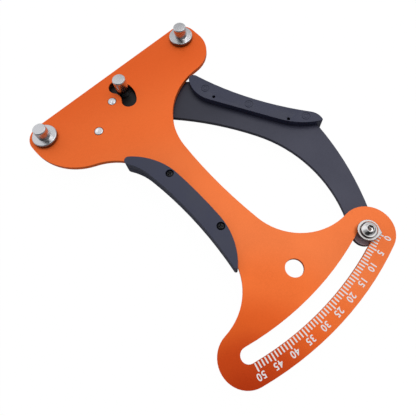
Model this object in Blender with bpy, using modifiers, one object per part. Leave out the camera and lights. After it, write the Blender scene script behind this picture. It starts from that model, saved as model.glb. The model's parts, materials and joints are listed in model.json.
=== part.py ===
"""Spoke tension meter: a steel plate with two fixed posts, and a lever with a third one.

The lever turns on a rivet in the plate. Its post stands in a curved window between the
fixed posts, and a pointer at its far end runs along a curved slot in the foot of the plate.
Squeezing the two handles turns the lever clockwise and moves the third post away from the
spoke; a tension spring behind the head turns it back.

Frame: the pivot's axis is X = Y = 0 and the tool lies on Z = 0, with its scale upwards.
+Y points from the pivot to the edge that the spoke crosses. All lengths are in metres.
"""

import math

import bmesh
import bpy
from mathutils import Vector

# Clearances and fineness
FIT = 0.0003            # gap left between two pieces that seat on each other
OVERRUN = 0.002         # how far a cutter reaches past what it cuts
WELD = 0.00001          # distance under which two vertices are one
CHORD_ERROR = 0.00004   # how far a facet may lie inside its arc
SMOOTH_ANGLE = math.radians(35)
FULL_TURN = 2 * math.pi

# Levels, counted up from the surface that the tool lies on
CHEEK = 0.0045          # grip above or below the steel that it holds
LEVER_THICK = 0.003
RUNNING_GAP = 0.0012    # between lever and plate
PLATE_THICK = 0.003
LEVER_BACK = CHEEK
LEVER_FRONT = LEVER_BACK + LEVER_THICK
PLATE_BACK = LEVER_FRONT + RUNNING_GAP
PLATE_FRONT = PLATE_BACK + PLATE_THICK

# Head of the plate and its two posts
POST_SPAN = 0.123       # between the axes of the fixed posts
LEFT_POST_X = -0.051
POST_Y = 0.0086
POST_RADIUS = 0.00455
POST_HEIGHT = 0.01065   # above the plate
POST_CHAMFER = 0.0005
FLANGE_RADIUS = 0.00855
FLANGE_HEIGHT = 0.0029
FLANGE_CHAMFER = 0.0004
STUD_RADIUS = 0.003     # M6
HEAD_RIM = 0.0115       # steel left round a post's axis at the corners of the head
LEFT_LOBE_RADIUS = 0.0399
LEFT_LOBE_Y = 0.0048
RIGHT_LOBE_RADIUS = 0.0223
RIGHT_LOBE_Y = 0.0014

# Travel of the lever, pointer and moving post
TRAVEL = math.radians(30.3)
POINTER_ANGLE = math.radians(-73.28)
POINTER_RADIUS = 0.1903 # from the pivot to the pointer's screw, which sets the handles' length
SLOT_WIDTH = 0.0092
SLOT_SPARE = math.radians(0.15)      # slot left past each end of the travel
MOVING_POST_SWING_RADIUS = 0.0122    # from the pivot to the moving post
MOVING_POST_ANGLE = TRAVEL / 2
MOVING_POST_RADIUS = 0.0046
WINDOW_SIDE_GAP = 0.0008
WINDOW_SPARE = math.radians(24.5)    # window left past each end of the travel

# Neck, foot and the blends between them and the head
NECK_LEFT_X = -0.0136
NECK_RIGHT_X = 0.0122       # at the waist, where the neck is narrowest
WAIST_PLACE_SHARE = -0.5223     # middle of the waist, and the radius of its long hollow
WAIST_RADIUS_SHARE = 1.832
HEAD_BLEND_LEFT = 0.0407
HEAD_BLEND_RIGHT = 0.0466
FOOT_BLEND_LEFT = 0.0367
FOOT_BLEND_RIGHT = 0.0384
FOOT_RIM = 0.0167       # from the pointer's circle to the outer edge of the foot
FOOT_END_RADIUS = 0.0161
FOOT_LEFT_ANGLE = math.radians(-104.2)
FOOT_RIGHT_ANGLE = math.radians(-73.2)
HANG_HOLE_X = 0.0077
HANG_HOLE_DEPTH = 0.0218    # from the pointer's circle up to the hole
HANG_HOLE_RADIUS = 0.0056

# Lever outline: shares are of the pointer's radius
HUB_RADIUS = 0.0184
LEVER_INNER_SHARES = (-0.7403, -0.9524)     # centre of the long hollow of its inner edge
LEVER_INNER_SHARE = 1.1485                  # radius of that hollow
LEVER_ROOT_RADIUS = 0.070                   # its tighter end at the hub
LEVER_LOWER_RADIUS = 0.0892                 # its tighter end at the pointer
LEVER_END_RADIUS = 0.0074
LEVER_OUTER_RADIUS = 0.1972
LEVER_TIP_SHARES = (0.4021, -0.5802)        # corner below the handle
LEVER_TIP_RADIUS = 0.0145
LEVER_WAIST_RADIUS = 0.2065                 # hollow under the handle
LEVER_SHOULDER_INSET = 0.0039               # from the handle's upper end inwards
LEVER_SHOULDER_RADIUS = 0.0037

# Grips: the body grip's shares are of the pointer's radius, the lever grip's of its length
GRIP_EDGE = 0.0006          # rounding of the moulding's outer edges
BODY_GRIP_CORNER = 0.0011   # radius of its pointed end
BODY_GRIP_COVER = 0.01075   # how far it reaches in over the neck
BODY_GRIP_TOP_RADIUS = 0.0028
BODY_GRIP_TOP_PROUD = 0.0072    # how far its ends stand out past the neck
BODY_GRIP_TIP_PROUD = 0.0039
BODY_GRIP_TOP_SHARE = -0.2507
BODY_GRIP_TIP_SHARE = -0.7657
BODY_GRIP_BACK_RADIUS = 0.0384  # tighter upper end of the hollow for the palm
BODY_GRIP_BACK_ANGLE = math.radians(212.9)
BODY_GRIP_PALM_SHARE = 1.4414   # radius of that hollow
BODY_GRIP_BULGE_SHARE = 1.9036  # radius of the inner side, and the place of its middle
BODY_GRIP_MIDDLE_SHARE = -0.5178
BODY_GRIP_INNER_RADIUS = 0.0456     # tighter ends of the inner side
BODY_SCREW_INSET = 0.0064       # from the neck's edge
BODY_SCREW_SHARES = (-0.3862, -0.6390)
LEVER_GRIP_CORNER = 0.0008
LEVER_GRIP_TOP_X = 0.0540
LEVER_GRIP_HEAD_GAP = 0.0018        # from the head's right lobe down to the grip
LEVER_GRIP_TOP_RADIUS = 0.0033
LEVER_GRIP_TIP_SHARES = (0.4919, -0.5858)   # the grip's lower end, as shares of the pointer's radius
LEVER_GRIP_INNER_SHARE = 0.2376
LEVER_GRIP_INNER_TURN = math.radians(212.2)
LEVER_GRIP_BEND_SHARE = 0.5172
LEVER_GRIP_BEND_TURN = math.radians(305.9)
LEVER_GRIP_END_SHARE = 0.1059
LEVER_GRIP_END_TURN = math.radians(45.6)
LEVER_GRIP_OUTER_SHARE = 2.382      # hollow for the fingers
LEVER_SCREW_SHARES = ((0.2092, 0.0959), (0.7817, 0.0804))   # along the grip and inwards
GRIP_BORE_RADIUS = 0.0027   # counterbore for a screw's head
GRIP_BORE_DEPTH = 0.0024
GRIP_SCREW_HEAD = 0.0024
GRIP_SCREW_HEAD_HEIGHT = 0.0016
GRIP_SCREW_RADIUS = 0.0014
GRIP_SCREW_BITE = 0.0028    # how deep the screw runs into the far shell
CROSS_SPAN = 0.0030         # cross recess of the screws
CROSS_WIDTH = 0.0008
CROSS_DEPTH = 0.0009
CROSS_TURN = math.radians(20)
VENT_RADIUS = 0.00115       # end of the screw hole that shows in the lever's front shell

# Pivot, washers and nuts
PIVOT_RADIUS = 0.00285
PIVOT_PROUD = 0.0003        # peened end above the plate
PIVOT_HEAD_RADIUS = 0.005
PIVOT_CHAMFER = 0.0003
PIVOT_WASHER_RADIUS = 0.0058
PIVOT_WASHER_THICK = RUNNING_GAP - 2 * FIT
PLATE_WASHER_RADIUS = 0.006
PLATE_WASHER_THICK = 0.001
NUT_WIDTH = 0.010
NUT_HEIGHT = 0.005
THIN_NUT_HEIGHT = 0.0032
NUT_FACE_RADIUS = 0.0047    # round face left by the chamfer of the corners
NUT_CHAMFER_ANGLE = math.radians(30)
STUD_CHAMFER = 0.0004

# Return spring and its studs
PLATE_STUD_X = -0.0213
PLATE_STUD_Y = -0.01315
LEVER_STUD_SWING_RADIUS = 0.0155     # from the pivot
LEVER_STUD_ANGLE = math.radians(130)
PLATE_STUD_RADIUS = 0.00295
PLATE_STUD_DISH = 0.0003
PLATE_STUD_COLLAR = 0.0036
LEVER_STUD_RADIUS = 0.0018
LEVER_STUD_COLLAR = 0.0024
LEVER_STUD_FLAT = 0.0005    # thickness of its riveted end, inside the running gap
STUD_COLLAR_END = 0.0034    # level where the collars stop and the necks start
STUD_NECK_RADIUS = 0.0012
STUD_CAP_RADIUS = 0.0021
STUD_CAP_TOP = 0.0013
STUD_CAP_BOTTOM = 0.0003
SPRING_DIAMETER = 0.0039
SPRING_WIRE = 0.0007
SPRING_LEVEL = 0.00225      # height of the spring's axis
SPRING_CURLS = 15
SPRING_CURL_POINTS = 9
SPRING_HOOK_LENGTH = 0.0036 # from a stud's axis to the first curl
SPRING_HOOK_POINTS = 8
SPRING_HOOK_TURN = math.radians(250)

# Pointer at the end of the lever
SPACER_TOP = 0.0020         # above the plate
POINTER_WASHER_RADIUS = 0.00645
POINTER_WASHER_THICK = 0.001
POINTER_TIP_LENGTH = 0.00745
POINTER_TIP_RADIUS = 0.00025
POINTER_TIP_ANGLE = math.radians(-57.8)
POINTER_HEAD_RADIUS = 0.00525
POINTER_HEAD_HEIGHT = 0.0033
POINTER_HEAD_EDGE = 0.0006  # straight side of the button head
POINTER_HEAD_FLAT = 0.0026  # radius of its flat top
POINTER_SOCKET = 0.004
POINTER_SOCKET_DEPTH = 0.0021

# Facets round a full turn
POST_STEPS = 36
SMALL_STEPS = 24
DOME_ARCS = 5

parts = bpy.data.collections.new("spoke_tension_meter")
cutters = bpy.data.collections.new("cutters")


def polar(radius, angle):
    """Point at a radius and an angle about the pivot."""
    return (radius * math.cos(angle), radius * math.sin(angle))


def arc_steps(radius, sweep):
    """Number of facets that keep an arc within the chord error."""
    step = 2 * math.acos(max(0.5, 1 - CHORD_ERROR / max(abs(radius), 2 * CHORD_ERROR)))
    return max(2, math.ceil(abs(sweep) / step))


def circle(centre, radius):
    """Points of a full circle."""
    count = max(16, arc_steps(radius, FULL_TURN))
    angles = [FULL_TURN * i / count for i in range(count)]
    return [(centre[0] + radius * math.cos(a), centre[1] + radius * math.sin(a)) for a in angles]


def belt(circles, grow=0.0):
    """Outline of a belt drawn tight round circles, anticlockwise.

    Each circle is (x, y, radius). The belt goes round the outside of a circle with a
    positive radius, and along the inside bend of a negative one, so that a negative
    circle makes a hollow. A grow value moves the whole outline outwards.
    """
    rounds = [(x, y, radius + grow) for x, y, radius in circles]
    tangents = []
    for (x0, y0, r0), (x1, y1, r1) in zip(rounds, rounds[1:] + rounds[:1]):
        span = math.hypot(x1 - x0, y1 - y0)
        lean = max(-1.0, min(1.0, (r1 - r0) / span))
        tangents.append(math.atan2(y1 - y0, x1 - x0) + math.acos(lean))
    points = []
    for index, (x, y, radius) in enumerate(rounds):
        start = tangents[index - 1]
        turn = (tangents[index] - start) % FULL_TURN
        if radius < 0:
            turn = -((-turn) % FULL_TURN)
        count = arc_steps(radius, turn)
        for i in range(count + 1):
            angle = start + turn * i / count
            points.append((x - radius * math.cos(angle), y - radius * math.sin(angle)))
    return drop_doubles(points)


def drop_doubles(points):
    """The same closed row of points without neighbours that lie on one another."""
    kept = []
    for point in points:
        if not kept or math.dist(point, kept[-1]) > 2 * CHORD_ERROR:
            kept.append(point)
    while math.dist(kept[0], kept[-1]) <= 2 * CHORD_ERROR:
        kept.pop()
    return kept


def arc_slot(reach, half_width, start, end):
    """Slot with round ends along an arc about the pivot, from one angle up to another."""
    low = polar(reach, start)
    high = polar(reach, end)
    return belt([(0, 0, reach + half_width), (*high, half_width),
                 (0, 0, half_width - reach), (*low, half_width)])


def touching(circle, radius, x, side):
    """Circle of a signed radius with its centre at X = x, above or below, that touches another."""
    centre_x, centre_y, touched = circle
    apart = math.sqrt((radius - touched) ** 2 - (x - centre_x) ** 2)
    return (x, centre_y + side * apart, radius)


def between(first, last, radius, side):
    """Circle of a signed radius that touches two others, to the left or right of their line."""
    span = math.dist(first[:2], last[:2])
    to_first = abs(radius - first[2])
    to_last = abs(radius - last[2])
    along = (to_first ** 2 - to_last ** 2 + span ** 2) / (2 * span)
    across = side * math.sqrt(to_first ** 2 - along ** 2)
    step_x = (last[0] - first[0]) / span
    step_y = (last[1] - first[1]) / span
    return (first[0] + step_x * along - step_y * across,
            first[1] + step_y * along + step_x * across, radius)


def meeting(circle, radius, angle):
    """Circle of a signed radius that touches another where the outline faces an angle."""
    x, y, touched = circle
    apart = touched - radius
    return (x + apart * math.cos(angle), y + apart * math.sin(angle), radius)


def at_share(shares):
    """Place on the lever, from shares of the pointer's radius."""
    return (shares[0] * POINTER_RADIUS, shares[1] * POINTER_RADIUS)


def plate_outline(grow=0.0):
    """Head, neck and foot of the plate."""
    right_x = LEFT_POST_X + POST_SPAN
    right_corner = (right_x, POST_Y, HEAD_RIM)
    left_corner = (LEFT_POST_X, POST_Y, HEAD_RIM)
    left_lobe = (LEFT_POST_X - HEAD_RIM + LEFT_LOBE_RADIUS, LEFT_LOBE_Y, LEFT_LOBE_RADIUS)
    right_lobe = (right_x + HEAD_RIM - RIGHT_LOBE_RADIUS, RIGHT_LOBE_Y, RIGHT_LOBE_RADIUS)
    foot_radius = POINTER_RADIUS + FOOT_RIM
    end_centre = foot_radius - FOOT_END_RADIUS
    left_end = (*polar(end_centre, FOOT_LEFT_ANGLE), FOOT_END_RADIUS)
    right_end = (*polar(end_centre, FOOT_RIGHT_ANGLE), FOOT_END_RADIUS)
    hollow = WAIST_RADIUS_SHARE * POINTER_RADIUS
    waist = (NECK_RIGHT_X + hollow, WAIST_PLACE_SHARE * POINTER_RADIUS, -hollow)
    return belt([
        right_corner,
        left_corner,
        left_lobe,
        touching(left_lobe, -HEAD_BLEND_LEFT, NECK_LEFT_X - HEAD_BLEND_LEFT, -1),
        touching(left_end, -FOOT_BLEND_LEFT, NECK_LEFT_X - FOOT_BLEND_LEFT, 1),
        left_end,
        (0, 0, foot_radius),
        right_end,
        between(right_end, waist, -FOOT_BLEND_RIGHT, 1),
        waist,
        between(waist, right_lobe, -HEAD_BLEND_RIGHT, 1),
        right_lobe,
    ], grow)


def lever_outline(grow=0.0):
    """Hub, curved arm and rounded pointer end of the lever."""
    hub = (0, 0, HUB_RADIUS)
    inner = (*at_share(LEVER_INNER_SHARES), -LEVER_INNER_SHARE * POINTER_RADIUS)
    end = (*polar(POINTER_RADIUS, POINTER_ANGLE), LEVER_END_RADIUS)
    tip = (*at_share(LEVER_TIP_SHARES), LEVER_TIP_RADIUS)
    top = lever_grip_ends()[0]
    shoulder = (top[0] - LEVER_SHOULDER_INSET, top[1], LEVER_SHOULDER_RADIUS)
    return belt([
        hub,
        between(hub, inner, -LEVER_ROOT_RADIUS, 1),
        inner,
        between(inner, end, -LEVER_LOWER_RADIUS, 1),
        end,
        between(end, tip, LEVER_OUTER_RADIUS, 1),
        tip,
        between(tip, shoulder, -LEVER_WAIST_RADIUS, -1),
        shoulder,
    ], grow)


def body_grip_outline():
    """Fixed handle: bulging inner side with rounded ends, and a hollow back for the palm."""
    top = (NECK_LEFT_X - BODY_GRIP_TOP_PROUD, BODY_GRIP_TOP_SHARE * POINTER_RADIUS,
           BODY_GRIP_TOP_RADIUS)
    tip = (NECK_LEFT_X - BODY_GRIP_TIP_PROUD, BODY_GRIP_TIP_SHARE * POINTER_RADIUS,
           BODY_GRIP_CORNER)
    back = meeting(top, -BODY_GRIP_BACK_RADIUS, BODY_GRIP_BACK_ANGLE)
    reach = BODY_GRIP_BULGE_SHARE * POINTER_RADIUS
    bulge = (NECK_LEFT_X + BODY_GRIP_COVER - reach, BODY_GRIP_MIDDLE_SHARE * POINTER_RADIUS, reach)
    return belt([
        top,
        back,
        between(back, tip, -BODY_GRIP_PALM_SHARE * POINTER_RADIUS, -1),
        tip,
        between(tip, bulge, BODY_GRIP_INNER_RADIUS, -1),
        bulge,
        between(bulge, top, BODY_GRIP_INNER_RADIUS, -1),
    ])


def lever_grip_ends():
    """Upper end of the moving handle, just below the plate's head, and its lower end."""
    lobe_bottom = RIGHT_LOBE_Y - RIGHT_LOBE_RADIUS
    top = (LEVER_GRIP_TOP_X, lobe_bottom - LEVER_GRIP_HEAD_GAP - LEVER_GRIP_TOP_RADIUS)
    return top, at_share(LEVER_GRIP_TIP_SHARES)


def lever_grip_outline():
    """Moving handle: rounded inner side, a pointed lower end and a hollow outer side."""
    first, last = lever_grip_ends()
    length = math.dist(first, last)
    heading = math.atan2(last[1] - first[1], last[0] - first[0])
    top = (*first, LEVER_GRIP_TOP_RADIUS)
    tip = (*last, LEVER_GRIP_CORNER)
    end = meeting(tip, LEVER_GRIP_END_SHARE * length, heading + LEVER_GRIP_END_TURN)
    return belt([
        top,
        meeting(top, LEVER_GRIP_INNER_SHARE * length, heading + LEVER_GRIP_INNER_TURN),
        meeting(tip, LEVER_GRIP_BEND_SHARE * length, heading + LEVER_GRIP_BEND_TURN),
        tip,
        end,
        between(end, top, -LEVER_GRIP_OUTER_SHARE * length, -1),
    ])


def material(name, colour, roughness, metallic):
    """Principled material of a part."""
    made = bpy.data.materials.new(name)
    made.use_nodes = True
    shader = made.node_tree.nodes["Principled BSDF"]
    shader.inputs["Base Color"].default_value = (*colour, 1.0)
    shader.inputs["Roughness"].default_value = roughness
    shader.inputs["Metallic"].default_value = metallic
    made.diffuse_color = (*colour, 1.0)
    return made


def place(obj, look):
    """Put a finished part in the collection, with its own material and shading."""
    parts.objects.link(obj)
    obj.data.materials.clear()
    obj.data.materials.append(look(obj.name))
    obj.data.shade_smooth()
    obj.data.set_sharp_from_angle(angle=SMOOTH_ANGLE)
    return obj


def curve_mesh(curve, name):
    """Closed mesh of a curve object, which is removed."""
    bpy.context.scene.collection.objects.link(curve)
    bpy.context.view_layer.update()
    graph = bpy.context.evaluated_depsgraph_get()
    mesh = bpy.data.meshes.new_from_object(curve.evaluated_get(graph))
    mesh.name = name
    shape = bmesh.new()
    shape.from_mesh(mesh)
    bmesh.ops.remove_doubles(shape, verts=shape.verts, dist=WELD)
    bmesh.ops.recalc_face_normals(shape, faces=shape.faces)
    shape.to_mesh(mesh)
    shape.free()
    data = curve.data
    bpy.data.objects.remove(curve)
    bpy.data.curves.remove(data)
    return mesh


def flat_shape(name, loops, bottom, top):
    """Solid between two levels whose outline is the first loop and whose holes are the rest."""
    data = bpy.data.curves.new(name, "CURVE")
    data.dimensions = "2D"
    data.fill_mode = "BOTH"
    data.extrude = (top - bottom) / 2
    for loop in loops:
        spline = data.splines.new("POLY")
        spline.points.add(len(loop) - 1)
        for point, (x, y) in zip(spline.points, loop):
            point.co = (x, y, 0, 1)
        spline.use_cyclic_u = True
    mesh = curve_mesh(bpy.data.objects.new(name, data), name)
    for vertex in mesh.vertices:
        vertex.co.z += (top + bottom) / 2
    return bpy.data.objects.new(name, mesh)


def turned_shape(name, centre, profile, steps, ring=False):
    """Turned solid: a profile of (radius, level), down its outer side from top to bottom."""
    mesh = bpy.data.meshes.new(name)
    points = [(radius, 0, level) for radius, level in profile]
    edges = [(i, i + 1) for i in range(len(points) - 1)]
    if ring:
        edges.append((len(points) - 1, 0))
    mesh.from_pydata(points, edges, [])
    obj = bpy.data.objects.new(name, mesh)
    obj.location = (*centre, 0)
    screw = obj.modifiers.new("Turn", "SCREW")
    screw.axis = "Z"
    screw.steps = steps
    screw.render_steps = steps
    screw.use_merge_vertices = True
    screw.merge_threshold = WELD
    screw.use_smooth_shade = True
    return obj


def drill(centre, *steps):
    """Cutter for a stepped round hole: (radius, top, bottom) of each step, from the top down."""
    profile = [(0, steps[0][1])]
    for radius, top, bottom in steps:
        profile += [(radius, top), (radius, bottom)]
    profile.append((0, steps[-1][2]))
    return turned_shape("drill", centre, profile, SMALL_STEPS)


def hexagon(centre, width):
    """Hexagon outline with a given width across its flats."""
    corner = width / (2 * math.cos(math.pi / 6))
    angles = [FULL_TURN * (i + 0.5) / 6 for i in range(6)]
    return [(centre[0] + corner * math.cos(a), centre[1] + corner * math.sin(a)) for a in angles]


def cross(centre, span, width):
    """Outline of a cross recess."""
    far = span / 2
    near = width / 2
    corner = [(far, -near), (far, near), (near, near)]
    points = []
    for quarter in range(4):
        turn = CROSS_TURN + FULL_TURN * quarter / 4
        c = math.cos(turn)
        s = math.sin(turn)
        points += [(centre[0] + x * c - y * s, centre[1] + x * s + y * c) for x, y in corner]
    return points


def cut(obj, cutter, operation="DIFFERENCE"):
    """Boolean operation with a cutter, which stays hidden in its own collection."""
    cutter.name = f"{obj.name}.{cutter.name}"
    cutter.hide_render = True
    cutter.display_type = "WIRE"
    cutters.objects.link(cutter)
    boolean = obj.modifiers.new(cutter.name, "BOOLEAN")
    boolean.operation = operation
    boolean.object = cutter
    boolean.solver = "EXACT"
    return obj


def round_edges(obj, level, width):
    """Round the edges of a flat shape that lie at one level."""
    shape = bmesh.new()
    shape.from_mesh(obj.data)
    edges = []
    for edge in shape.edges:
        flat = all(abs(vertex.co.z - level) < WELD for vertex in edge.verts)
        if flat and edge.calc_face_angle(0) > SMOOTH_ANGLE:
            edges.append(edge)
    bmesh.ops.bevel(shape, geom=edges, offset=width, segments=2, profile=0.5,
                    affect="EDGES", clamp_overlap=True)
    shape.to_mesh(obj.data)
    shape.free()
    return obj


def body_screws():
    """Axes of the fixed handle's screws."""
    x = NECK_LEFT_X + BODY_SCREW_INSET
    return [(x, share * POINTER_RADIUS) for share in BODY_SCREW_SHARES]


def lever_screws():
    """Axes of the moving handle's screws, from the line between its ends."""
    first, last = lever_grip_ends()
    run_x = last[0] - first[0]
    run_y = last[1] - first[1]
    return [(first[0] + along * run_x + inwards * run_y, first[1] + along * run_y - inwards * run_x)
            for along, inwards in LEVER_SCREW_SHARES]


def orange_paint(name):
    """Powder coat of the plate."""
    return material(name, (0.73, 0.13, 0.03), 0.42, 0.0)


def charcoal_paint(name):
    """Dark coat of the lever."""
    return material(name, (0.065, 0.07, 0.085), 0.45, 0.0)


def grip_plastic(name):
    """Moulded handle shells."""
    return material(name, (0.06, 0.062, 0.072), 0.5, 0.0)


def bright_steel(name):
    """Turned and ground steel."""
    return material(name, (0.56, 0.56, 0.57), 0.25, 1.0)


def black_steel(name):
    """Blackened screws."""
    return material(name, (0.015, 0.015, 0.017), 0.4, 0.6)


def make_plate():
    """Plate with its curved window, scale slot and holes."""
    window_half = MOVING_POST_RADIUS + WINDOW_SIDE_GAP
    window_angle = MOVING_POST_ANGLE + WINDOW_SPARE
    window = arc_slot(MOVING_POST_SWING_RADIUS, window_half, -window_angle, window_angle)
    slot = arc_slot(POINTER_RADIUS, SLOT_WIDTH / 2,
                    POINTER_ANGLE - TRAVEL - SLOT_SPARE, POINTER_ANGLE + SLOT_SPARE)
    hanger = (HANG_HOLE_X, HANG_HOLE_DEPTH - POINTER_RADIUS)
    holes = [window, slot, circle(hanger, HANG_HOLE_RADIUS)]
    holes.append(circle((LEFT_POST_X, POST_Y), STUD_RADIUS + FIT))
    holes.append(circle((LEFT_POST_X + POST_SPAN, POST_Y), STUD_RADIUS + FIT))
    holes.append(circle((0, 0), PIVOT_RADIUS + FIT))
    holes.append(circle((PLATE_STUD_X, PLATE_STUD_Y), PLATE_STUD_RADIUS + FIT))
    holes += [circle(centre, GRIP_SCREW_RADIUS + FIT) for centre in body_screws()]
    place(flat_shape("body_plate", [plate_outline(), *holes], PLATE_BACK, PLATE_FRONT), orange_paint)


def make_fixed_post(side, x):
    """Turned post with a flange, held by a washer and a nut behind the plate."""
    top = PLATE_FRONT + POST_HEIGHT
    seat = PLATE_FRONT + FIT
    flange = PLATE_FRONT + FLANGE_HEIGHT
    profile = [
        (0, top),
        (POST_RADIUS - POST_CHAMFER, top),
        (POST_RADIUS, top - POST_CHAMFER),
        (POST_RADIUS, flange),
        (FLANGE_RADIUS - FLANGE_CHAMFER, flange),
        (FLANGE_RADIUS, flange - FLANGE_CHAMFER),
        (FLANGE_RADIUS, seat),
        (STUD_RADIUS, seat),
        (STUD_RADIUS, STUD_CHAMFER),
        (STUD_RADIUS - STUD_CHAMFER, 0),
        (0, 0),
    ]
    centre = (x, POST_Y)
    place(turned_shape(f"fixed_post_{side}", centre, profile, POST_STEPS), bright_steel)
    washer_top = PLATE_BACK - FIT
    washer_bottom = washer_top - PLATE_WASHER_THICK
    make_washer(f"post_washer_{side}", centre, STUD_RADIUS, PLATE_WASHER_RADIUS,
                washer_bottom, washer_top)
    nut_top = washer_bottom - FIT
    make_nut(f"post_nut_{side}", centre, nut_top - NUT_HEIGHT, nut_top)


def make_washer(name, centre, pin, radius, bottom, top):
    """Flat washer round a pin."""
    bore = pin + FIT
    profile = [(radius, top), (radius, bottom), (bore, bottom), (bore, top)]
    place(turned_shape(name, centre, profile, POST_STEPS, ring=True), bright_steel)


def make_nut(name, centre, bottom, top):
    """Hexagon nut with chamfered corners."""
    nut = flat_shape(name, [hexagon(centre, NUT_WIDTH), circle(centre, STUD_RADIUS + FIT)],
                     bottom, top)
    slope = math.tan(NUT_CHAMFER_ANGLE)
    edge = NUT_WIDTH / 2 / math.cos(math.pi / 6) + FIT
    fall = (edge - NUT_FACE_RADIUS) * slope
    neck = NUT_FACE_RADIUS - FIT / slope
    profile = [
        (0, top + FIT),
        (neck, top + FIT),
        (edge, top - fall),
        (edge, bottom + fall),
        (neck, bottom - FIT),
        (0, bottom - FIT),
    ]
    chamfer = turned_shape("chamfer", centre, profile, SMALL_STEPS)
    place(cut(nut, chamfer, "INTERSECT"), bright_steel)


def make_pivot():
    """Peened pin through plate and lever, with a washer on each side of the lever."""
    top = PLATE_FRONT + PIVOT_PROUD
    head_top = LEVER_BACK - FIT - PIVOT_WASHER_THICK - FIT
    profile = [
        (0, top),
        (PIVOT_RADIUS - PIVOT_CHAMFER, top),
        (PIVOT_RADIUS, top - PIVOT_CHAMFER),
        (PIVOT_RADIUS, head_top),
        (PIVOT_HEAD_RADIUS, head_top),
        (PIVOT_HEAD_RADIUS, PIVOT_CHAMFER),
        (PIVOT_HEAD_RADIUS - PIVOT_CHAMFER, 0),
        (0, 0),
    ]
    place(turned_shape("pivot_rivet", (0, 0), profile, POST_STEPS), bright_steel)
    inner = LEVER_FRONT + FIT
    make_washer("pivot_washer_inner", (0, 0), PIVOT_RADIUS, PIVOT_WASHER_RADIUS,
                inner, inner + PIVOT_WASHER_THICK)
    outer = LEVER_BACK - FIT
    make_washer("pivot_washer_outer", (0, 0), PIVOT_RADIUS, PIVOT_WASHER_RADIUS,
                outer - PIVOT_WASHER_THICK, outer)


def make_spring_studs():
    """Grooved studs that the spring's hooks lie round."""
    neck = [
        (STUD_NECK_RADIUS, STUD_COLLAR_END),
        (STUD_NECK_RADIUS, STUD_CAP_TOP),
        (STUD_CAP_RADIUS, STUD_CAP_TOP),
        (STUD_CAP_RADIUS, STUD_CAP_BOTTOM),
        (0, STUD_CAP_BOTTOM),
    ]
    top = PLATE_FRONT + PIVOT_PROUD
    plate_stud = [
        (0, top - PLATE_STUD_DISH),
        (PLATE_STUD_RADIUS - PIVOT_CHAMFER, top),
        (PLATE_STUD_RADIUS, top - PIVOT_CHAMFER),
        (PLATE_STUD_RADIUS, PLATE_BACK - FIT),
        (PLATE_STUD_COLLAR, PLATE_BACK - FIT),
        (PLATE_STUD_COLLAR, STUD_COLLAR_END),
    ]
    place(turned_shape("spring_stud_plate", (PLATE_STUD_X, PLATE_STUD_Y), plate_stud + neck,
                       SMALL_STEPS), bright_steel)
    flat_bottom = LEVER_FRONT + FIT
    lever_stud = [
        (0, flat_bottom + LEVER_STUD_FLAT),
        (LEVER_STUD_COLLAR, flat_bottom + LEVER_STUD_FLAT),
        (LEVER_STUD_COLLAR, flat_bottom),
        (LEVER_STUD_RADIUS, flat_bottom),
        (LEVER_STUD_RADIUS, LEVER_BACK - FIT),
        (LEVER_STUD_COLLAR, LEVER_BACK - FIT),
        (LEVER_STUD_COLLAR, STUD_COLLAR_END),
    ]
    centre = polar(LEVER_STUD_SWING_RADIUS, LEVER_STUD_ANGLE)
    place(turned_shape("spring_stud_lever", centre, lever_stud + neck, SMALL_STEPS), bright_steel)


def spring_hook(centre, along, side, entry):
    """Points of a hook, from where it meets the straight run round the far side of a stud."""
    radius = STUD_NECK_RADIUS + FIT + SPRING_WIRE / 2
    start = math.asin(min(1.0, entry / radius))
    across = side.copy()
    points = []
    for i in range(SPRING_HOOK_POINTS + 1):
        angle = start + SPRING_HOOK_TURN * i / SPRING_HOOK_POINTS
        points.append(centre + (across * math.sin(angle) + along * math.cos(angle)) * radius)
    return points


def make_spring():
    """Tension spring between the two studs, one unbroken wire with a hook at each end."""
    start = Vector((PLATE_STUD_X, PLATE_STUD_Y, SPRING_LEVEL))
    end = Vector((*polar(LEVER_STUD_SWING_RADIUS, LEVER_STUD_ANGLE), SPRING_LEVEL))
    along = (end - start).normalized()
    side = Vector((-along.y, along.x, 0))
    up = Vector((0, 0, 1))
    radius = (SPRING_DIAMETER - SPRING_WIRE) / 2
    body = (end - start).length - 2 * SPRING_HOOK_LENGTH
    count = SPRING_CURLS * SPRING_CURL_POINTS
    coil = []
    for i in range(count + 1):
        angle = FULL_TURN * i / SPRING_CURL_POINTS
        around = side * math.cos(angle) + up * math.sin(angle)
        coil.append(start + along * (SPRING_HOOK_LENGTH + body * i / count) + around * radius)
    first = spring_hook(start, along, side, radius)
    last = spring_hook(end, -along, side, radius)
    path = list(reversed(first)) + coil + last
    print("spring: least gap of the wire to itself",
          round(1000 * spring_gap(path), 2), "mm")
    data = bpy.data.curves.new("return_spring", "CURVE")
    data.dimensions = "3D"
    data.bevel_depth = SPRING_WIRE / 2
    data.bevel_resolution = 1
    data.use_fill_caps = True
    spline = data.splines.new("POLY")
    spline.points.add(len(path) - 1)
    for point, spot in zip(spline.points, path):
        point.co = (*spot, 1)
    mesh = curve_mesh(bpy.data.objects.new("return_spring", data), "return_spring")
    place(bpy.data.objects.new("return_spring", mesh), bright_steel)


def spring_gap(path):
    """Least gap between stretches of the wire that are half a curl or more apart."""
    apart = SPRING_CURL_POINTS // 2 + 1
    distances = []
    for i, point in enumerate(path):
        distances += [(point - other).length for other in path[i + apart:]]
    return min(distances) - SPRING_WIRE


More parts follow.
